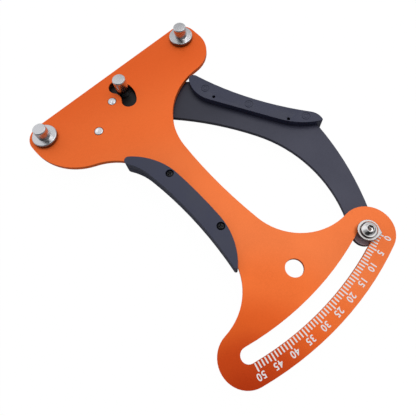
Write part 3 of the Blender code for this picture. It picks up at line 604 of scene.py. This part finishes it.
# %% Hammered rivet
RIVET_RADIUS = 2.85 * MM
RIVET_HEAD_RADIUS = 5.0 * MM
RIVET_HEAD_THICK = 3.3 * MM
DOME_RADIUS = 2.5 * MM
DOME_STEPS = 10
NICK_ANGLE = math.radians(-128)
NICK_PLACE = 2.3 * MM       # from the rivet's axis
NICK_WIDTH = 0.75 * MM
NICK_DEPTH = 0.45 * MM
BLOWS = 900                 # hammer marks to a metre
BLOW_SHARE = 0.35           # depth of a hammer mark as a share of the nick's


def hammer(obj, centre, above):
    """Push the top of a rivet about, and press a nick into its rim."""
    nick = Vector((centre[0] + NICK_PLACE * math.cos(NICK_ANGLE),
                   centre[1] + NICK_PLACE * math.sin(NICK_ANGLE)))
    for vertex in obj.data.vertices:
        if vertex.co.z > above:
            spot = vertex.co.xy
            blow = wobble.noise(Vector((*(spot * BLOWS), 3.1)))
            near = math.exp(-((spot - nick).length / NICK_WIDTH) ** 2)
            vertex.co.z = max(above, vertex.co.z + NICK_DEPTH * (BLOW_SHARE * blow - near))


centre, low, high = ends("pivot_rivet")
head_top = low + RIVET_HEAD_THICK
rim, rise = high - 0.05 * MM, 0.3 * MM
shares = [i / DOME_STEPS for i in range(DOME_STEPS + 1)]
dome = [(DOME_RADIUS * share, rim + rise * math.cos(math.pi / 2 * share ** 1.5))
        for share in shares]
rivet = lathe("pivot_rivet_peened", centre, dome + [
    (2.8 * MM, plate_front + 0.1 * MM), (RIVET_RADIUS, plate_front - 0.1 * MM),
    (RIVET_RADIUS, lever_back - SEAT_GAP), (RIVET_RADIUS, head_top),
    (RIVET_HEAD_RADIUS, head_top), (RIVET_HEAD_RADIUS, low + 0.4 * MM),
    (4.7 * MM, low + 0.05 * MM), (4.0 * MM, low), (0, low)])
hammer(rivet, centre, plate_front + 0.05 * MM)
rivet.data.materials.append(peened_steel)
dress(rivet, "bright_steel", "pivot_rivet")

PRESSED_RADIUS = 2.95 * MM
COLLAR_RADIUS = 3.6 * MM
COLLAR_END = 3.4 * MM       # level where the collar stops and the neck starts
NECK_RADIUS = 1.2 * MM
CAP_RADIUS = 2.1 * MM
CAP_TOP = 1.3 * MM

centre, low, high = ends("spring_stud_plate")
collar_top = plate_back - SEAT_GAP
pressed = lathe("spring_stud_pressed", centre, soften([
    (0, high - 0.25 * MM), (1.0 * MM, high - 0.22 * MM), (1.9 * MM, high - 0.05 * MM),
    (2.45 * MM, high), (PRESSED_RADIUS, high - 0.3 * MM), (PRESSED_RADIUS, collar_top),
    (COLLAR_RADIUS, collar_top), (COLLAR_RADIUS, COLLAR_END), (NECK_RADIUS, COLLAR_END),
    (NECK_RADIUS, CAP_TOP), (CAP_RADIUS, CAP_TOP), (CAP_RADIUS, low), (0, low)], TURNED_EDGE))
pressed.data.materials.append(peened_steel)
dress(pressed, "bright_steel", "spring_stud_plate")

# %% [markdown]
# ## Return spring
# The spring is one wire: a hook, fifteen curls and another hook. A path is easy to write as points,
# and Geometry Nodes then carry a round section along it. The tree has named inputs for the wire's
# radius, the number of its sides and its finish. The points are those of the solid, only closer
# together.

# %% A tree that carries a wire along a path
def new_tree(name, **sockets):
    """Empty geometry tree with named inputs, and the outputs of its group input."""
    tree = bpy.data.node_groups.new(name, "GeometryNodeTree")
    for label, kind in {"Geometry": "Geometry", **sockets, "Finish": "Material"}.items():
        tree.interface.new_socket(name=label.replace("_", " "), in_out="INPUT",
                                  socket_type="NodeSocket" + kind)
    tree.interface.new_socket(name="Geometry", in_out="OUTPUT", socket_type="NodeSocketGeometry")
    return tree, tree.nodes.new("NodeGroupInput").outputs


def join(tree, kind, inputs=()):
    """Node of a geometry tree, with its inputs linked or set by name."""
    node = tree.nodes.new(kind)
    for key, value in dict(inputs).items():
        fill(tree, node.inputs[key], value)
    return node


def end_tree(tree, given, geometry):
    """Make instances real, give all of it the finish, and end the tree."""
    whole = join(tree, "GeometryNodeRealizeInstances", {"Geometry": geometry})
    coated = join(tree, "GeometryNodeSetMaterial", {"Geometry": whole.outputs["Geometry"],
                                                    "Material": given["Finish"]})
    tree.links.new(coated.outputs["Geometry"], tree.nodes.new("NodeGroupOutput").inputs[0])


def grow(obj, tree, material, **values):
    """Run a tree on an object, with its inputs set by name, and keep the plain mesh."""
    modifier = obj.modifiers.new("Grow", "NODES")
    modifier.node_group = tree
    values["Finish"] = material
    for item in tree.interface.items_tree:
        key = item.name.replace(" ", "_")
        if item.in_out == "INPUT" and key in values:
            modifier[item.identifier] = values[key]
    return settle(obj, material)


wire_tree, given = new_tree("wire_along_path", Wire_Radius="Float", Sides="Int")
section = join(wire_tree, "GeometryNodeCurvePrimitiveCircle",
               {"Radius": given["Wire Radius"], "Resolution": given["Sides"]})
tube = join(wire_tree, "GeometryNodeCurveToMesh",
            {"Curve": given["Geometry"], "Profile Curve": section.outputs["Curve"],
             "Fill Caps": True})
end_tree(wire_tree, given, tube.outputs["Mesh"])
print("wire tree:", len(wire_tree.nodes), "nodes")

# %% Path of the spring, and the spring
CURLS = 15
CURL_POINTS = 22
HOOK_POINTS = 22
HOOK_TURN = math.radians(250)
HOOK_REACH = 3.6 * MM       # from a stud's axis to the first curl
COIL_RADIUS = 1.6 * MM
HOOK_RADIUS = 1.85 * MM
WIRE_RADIUS = 0.35 * MM
WIRE_SIDES = 10


def hook(centre, along, side):
    """Points round the far side of a stud, from where the hook leaves the straight run."""
    start = math.asin(COIL_RADIUS / HOOK_RADIUS)
    angles = [start + HOOK_TURN * i / HOOK_POINTS for i in range(HOOK_POINTS + 1)]
    return [centre + (side * math.sin(a) + along * math.cos(a)) * HOOK_RADIUS for a in angles]


axis_level = (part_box("return_spring")[0].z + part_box("return_spring")[1].z) / 2
first = Vector((*ends("spring_stud_plate")[0], axis_level))
last = Vector((*ends("spring_stud_lever")[0], axis_level))
along = (last - first).normalized()
side = Vector((-along.y, along.x, 0))
run = (last - first).length - 2 * HOOK_REACH
coil = []
for i in range(CURLS * CURL_POINTS + 1):
    turn = 2 * math.pi * i / CURL_POINTS
    around = side * math.cos(turn) + Vector((0, 0, math.sin(turn)))
    coil.append(first + along * (HOOK_REACH + run * i / (CURLS * CURL_POINTS))
                + around * COIL_RADIUS)
path = hook(first, along, side)[::-1] + coil + hook(last, -along, side)

wire_curve = bpy.data.curves.new("spring_path", "CURVE")
wire_curve.dimensions = "3D"
spline = wire_curve.splines.new("POLY")
spline.points.add(len(path) - 1)
for point, place in zip(spline.points, path):
    point.co = (*place, 1)
spring = grow(link("spring_of_wire", wire_curve), wire_tree, spring_steel,
              Wire_Radius=WIRE_RADIUS, Sides=WIRE_SIDES)
spring.data.shade_smooth()
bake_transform(spring)
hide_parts("return_spring")
print("spring:", len(spring.data.polygons), "faces")

# %% [markdown]
# ## Handles
# Each handle is two moulded shells that clasp the edge of the steel. They are copies of the
# solids with a finer rounding. The front shell of the lever's handle also shows three round
# marks, where pins pushed it out of its mould. Each mark is a fine groove, cut with a
# Boolean modifier, because a groove keeps its shape from every side and a drawn ring does not.

# %% Handle shells
PIN_MARKS = ((54.5, -38.1), (67.3, -69.0), (88.0, -102.5))      # in mm from the pivot
PIN_RINGS = ((2.65, 0.2, 0.3), (1.35, 0.13, 0.16))      # radius, half width and depth in mm
RING_STEPS = 48
CUTTER_REACH = 0.2 * MM     # how far a cutter stands out of what it cuts


def outwards(name, shape):
    """Object of a finished bmesh, its faces turned outwards."""
    bmesh.ops.recalc_face_normals(shape, faces=shape.faces)
    return link(name, built(name, shape))


def ring_cutter(radius, half_width, top, floor):
    """Cutter of flat rings round the marks, from one level down to another."""
    shape = bmesh.new()
    outer, inner = radius + half_width, radius - half_width
    for x, y in PIN_MARKS:
        loops = [ring(shape, (x * MM, y * MM), size, level, RING_STEPS)
                 for size, level in ((outer, top), (outer, floor), (inner, floor), (inner, top))]
        for first, second in zip(loops, loops[1:] + loops[:1]):
            bridge(shape, first, second)
    return outwards("pin_rings", shape)


def carve(obj, cutter):
    """Cut one object out of another, and remove the cutter."""
    material = obj.data.materials[0] if obj.data.materials else None
    boolean = obj.modifiers.new("Carve", "BOOLEAN")
    boolean.operation = "DIFFERENCE"
    boolean.solver = "EXACT"
    boolean.object = cutter
    made = settle(obj, material)
    bpy.data.objects.remove(cutter)
    return made


for handle in ("body", "lever"):
    for half in ("front", "rear"):
        node = f"{handle}_grip_{half}"
        shell = settle(round_off(link(f"{handle}_handle_{half}", welded(node)), 0.15 * MM),
                       plastic)
        if node == "lever_grip_front":
            top = ends(node)[2]
            for radius, half_width, depth in PIN_RINGS:
                shell = carve(shell, ring_cutter(radius * MM, half_width * MM,
                                                 top + CUTTER_REACH, top - depth * MM))
        dress(shell, "grip_plastic", node)

# %% [markdown]
# ## Handle screws
# The four screws are the same, so one model is made and Geometry Nodes set it out on a point
# at each screw. Screws never stop at the same angle, so each gets a turn from Random Value
# with a fixed seed. The recess is a tapered cross, and the ones behind the lever's handle
# are turned over.

# %% One screw
# Radius and level of the screw's outline in mm, down from the top of its head
SCREW_OUTLINE = ((0, 0), (0.6, -0.01), (1.2, -0.06), (1.75, -0.2), (2.1, -0.42), (2.32, -0.75),
                 (2.4, -1.1), (2.38, -1.6), (1.4, -1.6), (1.4, -9.0), (0.9, -9.5), (0, -9.5))
CROSS_SPAN = 3.0 * MM
CROSS_WIDTH = 0.8 * MM
CROSS_ENDS = ((0.3 * MM, 1.12), (-1.1 * MM, 0.5))       # level, and size as a share
CROSS_TURN = 7              # degrees


def cross_cutter():
    """Tapered cross, wider at the top."""
    shape = bmesh.new()
    rings = []
    for level, share in CROSS_ENDS:
        far = share * CROSS_SPAN / 2
        near = share * CROSS_WIDTH / 2
        corner = [(far, -near), (far, near), (near, near)]
        turns = [Matrix.Rotation(math.radians(90 * quarter + CROSS_TURN), 2)
                 for quarter in range(4)]
        rings.append([shape.verts.new((*(turn @ Vector(spot)), level))
                      for turn in turns for spot in corner])
    bridge(shape, *rings)
    shape.faces.new(rings[0])
    shape.faces.new(rings[1][::-1])
    return outwards("cross", shape)


screw = lathe("screw_model", (0, 0), [(radius * MM, level * MM) for radius, level in SCREW_OUTLINE],
              48)
screw.data.materials.append(black_steel)
screw = carve(screw, cross_cutter())
screw.data.set_sharp_from_angle(angle=math.radians(40))
print("screw:", len(screw.data.polygons), "faces")

# %% Setting the screws out
screw_tree, given = new_tree("set_out_screws", Model="Object", Flip="Float", Seed="Int")
model = join(screw_tree, "GeometryNodeObjectInfo", {"Object": given["Model"]})
chance = join(screw_tree, "FunctionNodeRandomValue", {"Seed": given["Seed"]})
chance.inputs[2].default_value = 0.0            # least value of a float
chance.inputs[3].default_value = 2 * math.pi    # greatest value of a float
turned = join(screw_tree, "ShaderNodeCombineXYZ", {"X": given["Flip"], "Z": chance.outputs[1]})
placed = join(screw_tree, "GeometryNodeInstanceOnPoints",
              {"Points": given["Geometry"], "Instance": model.outputs["Geometry"],
               "Rotation": turned.outputs["Vector"]})
end_tree(screw_tree, given, placed.outputs["Instances"])

for handle, flip, seed in (("body", 0.0, 4), ("lever", math.pi, 11)):
    stands_for = [f"{handle}_grip_screw_{place}" for place in ("upper", "lower")]
    spots = []
    for node in stands_for:
        middle, low, high = ends(node)
        spots.append((*middle, low if flip else high))
    mesh = bpy.data.meshes.new("screw_spots")
    mesh.from_pydata(spots, [], [])
    screws = grow(link(f"{handle}_handle_screws", mesh), screw_tree, black_steel,
                  Model=screw, Flip=flip, Seed=seed)
    dress(screws, "black_steel", *stands_for)
bpy.data.objects.remove(screw)

# %% [markdown]
# ## Pointer
# The pointer is a washer with a tip. A dark bush below it keeps it clear of the plate and slides in
# the slot. A button-head screw with a hexagon socket holds both on the lever. Its head is polished,
# and its flat face is darker. Painted shade darkens its socket and the groove round its foot.

# %% Pointer, bush and screw
BUTTON_RADIUS = 5.0 * MM
BUTTON_FLAT = 2.2 * MM          # radius of the flat face
BUTTON_SIDE = 0.9 * MM          # height of the side below the curve
BUTTON_ARCS = 12
HEXAGON_CORNER = 3.4 * MM / math.sqrt(3)
HEXAGON_DEPTH = 1.9 * MM
CONE_DEPTH = 0.6 * MM


def hexagon_cutter(centre, top):
    """Six-sided cutter with a cone at its floor, as a drill leaves."""
    shape = bmesh.new()
    floor = top - HEXAGON_DEPTH
    upper, lower = (ring(shape, centre, HEXAGON_CORNER, level, 6) for level in (top + MM, floor))
    bridge(shape, upper, lower)
    bridge(shape, lower, ring(shape, centre, 0, floor - CONE_DEPTH, 1))
    shape.faces.new(upper)
    return outwards("hexagon", shape)


rounded("pointer_washer", "pointer", 0.22 * MM, pointer_steel, "bright_steel")
rounded("pointer_spacer", "pointer_bush", 0.15 * MM, bush_metal, "black_steel")

low, high = ends("pointer_screw")[1:]
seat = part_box("pointer_washer")[1].z + SEAT_GAP
profile = [(0, high), (BUTTON_FLAT, high)]
for i in range(1, BUTTON_ARCS + 1):
    share = i / BUTTON_ARCS
    profile.append((BUTTON_FLAT + share * (BUTTON_RADIUS - BUTTON_FLAT),
                    high - (high - seat - BUTTON_SIDE) * share ** 1.7))
profile += [(4.95 * MM, seat + 0.05 * MM), (4.85 * MM, seat), *stud(seat, low)]
button = lathe("pointer_button_screw", slot_place, profile, TURNED_STEPS)
button.data.materials.append(polished_steel)
button = carve(button, hexagon_cutter(slot_place, high))
button = settle(round_off(button, 0.14 * MM, 2, 50), polished_steel)
# The flat face gets a darker colour; painted shade darkens the socket and the groove round the
# foot.
stain(polished_steel, "darker flat face", (*slot_place, high), 2.9, 0.4, (0.27, 0.26, 0.26))
stain(polished_steel, "painted shade in the socket", (*slot_place, high - 0.95 * MM), 2.4, 0.9, (0.2, 0.18, 0.17))
stain(polished_steel, "painted shade round the foot", (*slot_place, seat), 20, 1.35, (0.06, 0.045, 0.04))
dress(button, "polished_steel", "pointer_screw")

# %% [markdown]
# ## Nuts and washers
# The hexagon nuts and plain washers behind the plate and the lever are copies of the
# solids with their edges broken.

# %% Nuts, washers and the lever's stud
for node in ("post_nut_left", "post_nut_right", "moving_post_nut", "pointer_nut"):
    rounded(node, node + "_rounded", 0.15 * MM, zinc_steel, "bright_steel")
for node in ("post_washer_left", "post_washer_right", "pivot_washer_inner", "pivot_washer_outer",
             "spring_stud_lever"):
    rounded(node, node + "_rounded", 0.08 * MM, zinc_steel, "bright_steel")

# %% [markdown]
# ## Scale
# The scale is printed: fifty divisions along the outer edge of the slot, every fifth one
# longer and numbered. The pull of a spring isn't even, so the divisions widen a little from
# zero on and then stay about equal. The ticks follow that rule, so Geometry Nodes place them:
# the index of each one gives its angle, and whether five divides it gives its length. The ink
# is a closed film a few hundredths of a millimetre thick.

# %% Ticks from a rule
LAST_MARK = 50
FIRST_ANGLE = math.radians(-72.683)
DIVISION = math.radians(-0.5696)        # the first division
WIDENING = math.radians(-0.00198)       # times the square of the index
EASING = math.radians(0.0000211)        # times its cube
TICK_FOOT = 195.1 * MM
INK_THICK = 0.03 * MM


def calculate(tree, operation, first, second=0.0, third=None):
    """Output of a Math node, each input a number or the output of another node."""
    node = tree.nodes.new("ShaderNodeMath")
    node.operation = operation
    for socket, value in zip(node.inputs, (first, second, third)):
        if value is not None:
            fill(tree, socket, value)
    return node.outputs[0]


tick_tree, given = new_tree(
    "scale_ticks", Count="Int", First_Angle="Float", Division="Float", Widening="Float",
    Easing="Float", Foot_Radius="Float", Short="Float", Long="Float", Width="Float",
    Thickness="Float", Level="Float")
index = join(tick_tree, "GeometryNodeInputIndex").outputs["Index"]
wider = calculate(tick_tree, "MULTIPLY_ADD", index, given["Easing"], given["Widening"])
step = calculate(tick_tree, "MULTIPLY_ADD", index, wider, given["Division"])
angle = calculate(tick_tree, "MULTIPLY_ADD", index, step, given["First Angle"])
left_over = calculate(tick_tree, "MODULO", index, 5.0)
is_fifth = calculate(tick_tree, "LESS_THAN", left_over, 0.5)
longer = calculate(tick_tree, "SUBTRACT", given["Long"], given["Short"])
length = calculate(tick_tree, "MULTIPLY_ADD", is_fifth, longer, given["Short"])
middle = calculate(tick_tree, "MULTIPLY_ADD", length, 0.5, given["Foot Radius"])
spot = join(tick_tree, "ShaderNodeCombineXYZ", {
    "X": calculate(tick_tree, "MULTIPLY", middle, calculate(tick_tree, "COSINE", angle)),
    "Y": calculate(tick_tree, "MULTIPLY", middle, calculate(tick_tree, "SINE", angle)),
    "Z": given["Level"]})
points = join(tick_tree, "GeometryNodePoints", {"Count": given["Count"],
                                                "Position": spot.outputs["Vector"]})
heading = join(tick_tree, "ShaderNodeCombineXYZ", {"Z": angle})
extent = join(tick_tree, "ShaderNodeCombineXYZ", {"X": length, "Y": given["Width"],
                                                  "Z": given["Thickness"]})
bar = join(tick_tree, "GeometryNodeMeshCube", {"Size": (1, 1, 1)})
placed = join(tick_tree, "GeometryNodeInstanceOnPoints",
              {"Points": points.outputs[0], "Instance": bar.outputs["Mesh"],
               "Rotation": heading.outputs["Vector"], "Scale": extent.outputs["Vector"]})
end_tree(tick_tree, given, placed.outputs["Instances"])

ticks = grow(link("scale_ticks", bpy.data.meshes.new("seedbed")), tick_tree, white_ink,
             Count=LAST_MARK + 1, First_Angle=FIRST_ANGLE, Division=DIVISION, Widening=WIDENING,
             Easing=EASING, Foot_Radius=TICK_FOOT, Short=3.65 * MM, Long=4.65 * MM,
             Width=0.85 * MM, Thickness=INK_THICK, Level=plate_front + INK_THICK)
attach(ticks, "body")
print("ticks:", len(ticks.data.polygons) // 6)     # a bar has six faces

# %% [markdown]
# Each number is a text curve with a little thickness. It becomes a mesh first, and only then
# gets its size, its turn and its place. The tops of the digits point outwards, because the
# scale is read with the foot of the plate held away from you.

# %% Numbers
NUMBER_RADIUS = 202.25 * MM
NUMBER_HEIGHT = 4.0 * MM
NUMBER_NARROW = 0.94        # width as a share of the typeface's own
DIGIT_BOLD = 0.02
DIGIT_SPACING = 1.13
DIGIT_EXTRUDE = 0.01


def number_mesh(text):
    """Flat solid digits, one unit high and centred."""
    curve = bpy.data.curves.new("digits", "FONT")
    curve.body = text
    curve.align_x = "CENTER"
    curve.offset = DIGIT_BOLD
    curve.space_character = DIGIT_SPACING
    curve.extrude = DIGIT_EXTRUDE
    curve.resolution_u = 5
    obj = link("digits", curve)
    graph = bpy.context.evaluated_depsgraph_get()
    graph.update()
    mesh = bpy.data.meshes.new_from_object(obj.evaluated_get(graph))
    bpy.data.objects.remove(obj)
    heights = [vertex.co.y for vertex in mesh.vertices]
    widths = [vertex.co.x for vertex in mesh.vertices]
    tall = max(heights) - min(heights)
    centre = Vector(((max(widths) + min(widths)) / 2, (max(heights) + min(heights)) / 2, 0))
    mesh.transform(Matrix.Translation(-centre))
    mesh.transform(Matrix.Diagonal((1 / tall, 1 / tall, 1 / (2 * DIGIT_EXTRUDE), 1)))
    return mesh


shape = bmesh.new()
for value in range(0, LAST_MARK + 1, 5):
    angle = FIRST_ANGLE + value * (DIVISION + value * (WIDENING + value * EASING))
    mesh = number_mesh(str(value))
    size = Matrix.Diagonal((NUMBER_HEIGHT * NUMBER_NARROW, NUMBER_HEIGHT, INK_THICK, 1))
    spot = Vector((NUMBER_RADIUS * math.cos(angle), NUMBER_RADIUS * math.sin(angle),
                   plate_front + INK_THICK))
    mesh.transform(Matrix.Translation(spot) @ Matrix.Rotation(angle - math.pi / 2, 4, "Z") @ size)
    shape.from_mesh(mesh)
    bpy.data.meshes.remove(mesh)
bmesh.ops.remove_doubles(shape, verts=shape.verts, dist=0.000001)
numbers = outwards("scale_numbers", shape)
numbers.data.materials.append(white_ink)
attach(numbers, "body")
print("numbers:", len(numbers.data.polygons), "faces")

# %% [markdown]
# ## Floor, backdrop and light
# The tool lies on a pale floor. The floor is lit like any other surface, so it keeps the
# tool's shadow. Most of what the camera sees of it is a plain white, mixed in by Light Path,
# which keeps the background white without more light on the tool. Steel mirrors that white
# too, but only the floor further off, so that the shadow close to the tool stays in view.

# %% Floor
TOOL_MIDDLE = Vector((0, -0.09, 0))
WHITE_SHARE = 0.97          # of the floor, in what the camera sees of it
MIRROR_NEAR = 0.15          # from the tool's middle to where steel starts to mirror the white
MIRROR_FAR = 0.35           # and to where it mirrors all of it


def end_white(tree, kind, share, reflected, lit, white):
    """End a tree with a lit shader, and with white for the rays that only show it.

    The camera sees one share of white, and mirrored and refracted rays another.
    """
    path = tree.nodes.new("ShaderNodeLightPath")
    either = calculate(tree, "MAXIMUM", path.outputs["Is Glossy Ray"],
                       path.outputs["Is Transmission Ray"])
    shown = calculate(tree, "MAXIMUM", calculate(tree, "MULTIPLY", either, reflected),
                      calculate(tree, "MULTIPLY", path.outputs["Is Camera Ray"], share))
    mixed = tree.nodes.new("ShaderNodeMixShader")
    for value, socket in zip((shown, lit.outputs[0], white.outputs[0]), mixed.inputs):
        tree.links.new(value, socket)
    tree.links.new(mixed.outputs[0], tree.nodes.new(kind).inputs["Surface"])


def faded(material, label, value, low, high, first, last):
    """Value carried smoothly from one range to another."""
    fade = add(material, "ShaderNodeMapRange", label, Value=value, From_Min=low, From_Max=high,
               To_Min=first, To_Max=last)
    fade.interpolation_type = "SMOOTHSTEP"
    return fade.outputs["Result"]


floor_finish = bpy.data.materials.new("white_floor")
floor_finish.use_nodes = True
floor_finish.node_tree.nodes.clear()
paper = add(floor_finish, "ShaderNodeBsdfDiffuse", "paper", Color=(0.5, 0.5, 0.5, 1))
glow = add(floor_finish, "ShaderNodeEmission", "plain white", Strength=1.02)
spot = add(floor_finish, "ShaderNodeTexCoord", "place on the floor")
far = add(floor_finish, "ShaderNodeVectorMath", "way from the tool", Vector=spot.outputs["Object"])
far.operation = "DISTANCE"
far.inputs[1].default_value = TOOL_MIDDLE
further_off = faded(floor_finish, "further off", far.outputs["Value"], MIRROR_NEAR, MIRROR_FAR,
                    0.0, 1.0)
end_white(floor_finish.node_tree, "ShaderNodeOutputMaterial", WHITE_SHARE, further_off,
          paper, glow)

shape = bmesh.new()
bmesh.ops.create_grid(shape, x_segments=1, y_segments=1, size=3)
floor = link("floor", built("floor", shape))
floor.location.z = -0.2 * MM
floor.data.materials.append(floor_finish)
print("floor:", floor.dimensions.x, "m wide")

# %% [markdown]
# A large soft box and an uneven sky light the tool. The box stands to the right of the picture.
# The satin coat mirrors it softly, so the coat is brightest at the middle and the right of the
# plate and falls off towards the end of the scale. Bright steel shows what stands round it, so
# in reflections the sky also dims to one side, is dark where the photographer and the tripod
# stood, and is white near the horizon, like the backdrop that the camera sees.

# %% Soft box and sky
KEY_PLACE = Vector((0.5, 0.0, 1.15))
KEY_SIZE = 1.0
KEY_POWER = 6.7

key_data = bpy.data.lights.new("key_box", "AREA")
key_data.size = KEY_SIZE
key_data.energy = KEY_POWER
key = link("key_box", key_data)
key.location = KEY_PLACE
key.rotation_euler = (TOOL_MIDDLE - KEY_PLACE).to_track_quat("-Z", "Y").to_euler()

world = bpy.data.worlds.new("sky")
bpy.context.scene.world = world
world.use_nodes = True
tree = world.node_tree
tree.nodes.clear()
heading = tree.nodes.new("ShaderNodeTexCoord").outputs["Generated"]
path = tree.nodes.new("ShaderNodeLightPath")


def steered(label, direction, low, high, first, last):
    """Value that goes smoothly from first to last as a ray turns towards a direction."""
    towards = add(world, "ShaderNodeVectorMath", "towards", Vector=heading)
    towards.operation = "DOT_PRODUCT"
    towards.inputs[1].default_value = direction
    return faded(world, label, towards.outputs["Value"], low, high, first, last)


open_sky = steered("open sky", (0.53, 0.848, 0), -0.15, 0.45, 0.3, 0.95)
right_side = steered("right side", (1, 0, 0), 0.02, 0.42, 1.12, 0.66)
photographer = steered("photographer", (-0.3, -0.46, 0.835), 0.82, 0.92, 1.0, 0.1)
tripod = steered("tripod", (-0.85, -0.3, 0.43), 0.86, 0.93, 1.0, 0.12)
mirrored = calculate(tree, "MULTIPLY", right_side,
                     calculate(tree, "MULTIPLY", photographer, tripod))
change = calculate(tree, "SUBTRACT", mirrored, 1.0)
factor = calculate(tree, "MULTIPLY_ADD", path.outputs["Is Glossy Ray"], change, 1.0)
sky = add(world, "ShaderNodeBackground", "sky", Color=(0.96, 0.97, 1, 1),
          Strength=calculate(tree, "MULTIPLY", open_sky, factor))
backdrop = add(world, "ShaderNodeBackground", "backdrop", Color=(1, 1, 1, 1))
low_down = steered("low down", (0, 0, 1), 0.05, 0.25, 1.0, 0.0)
end_white(tree, "ShaderNodeOutputWorld", 1.0, low_down, sky, backdrop)
print("lights:", len(bpy.data.lights))
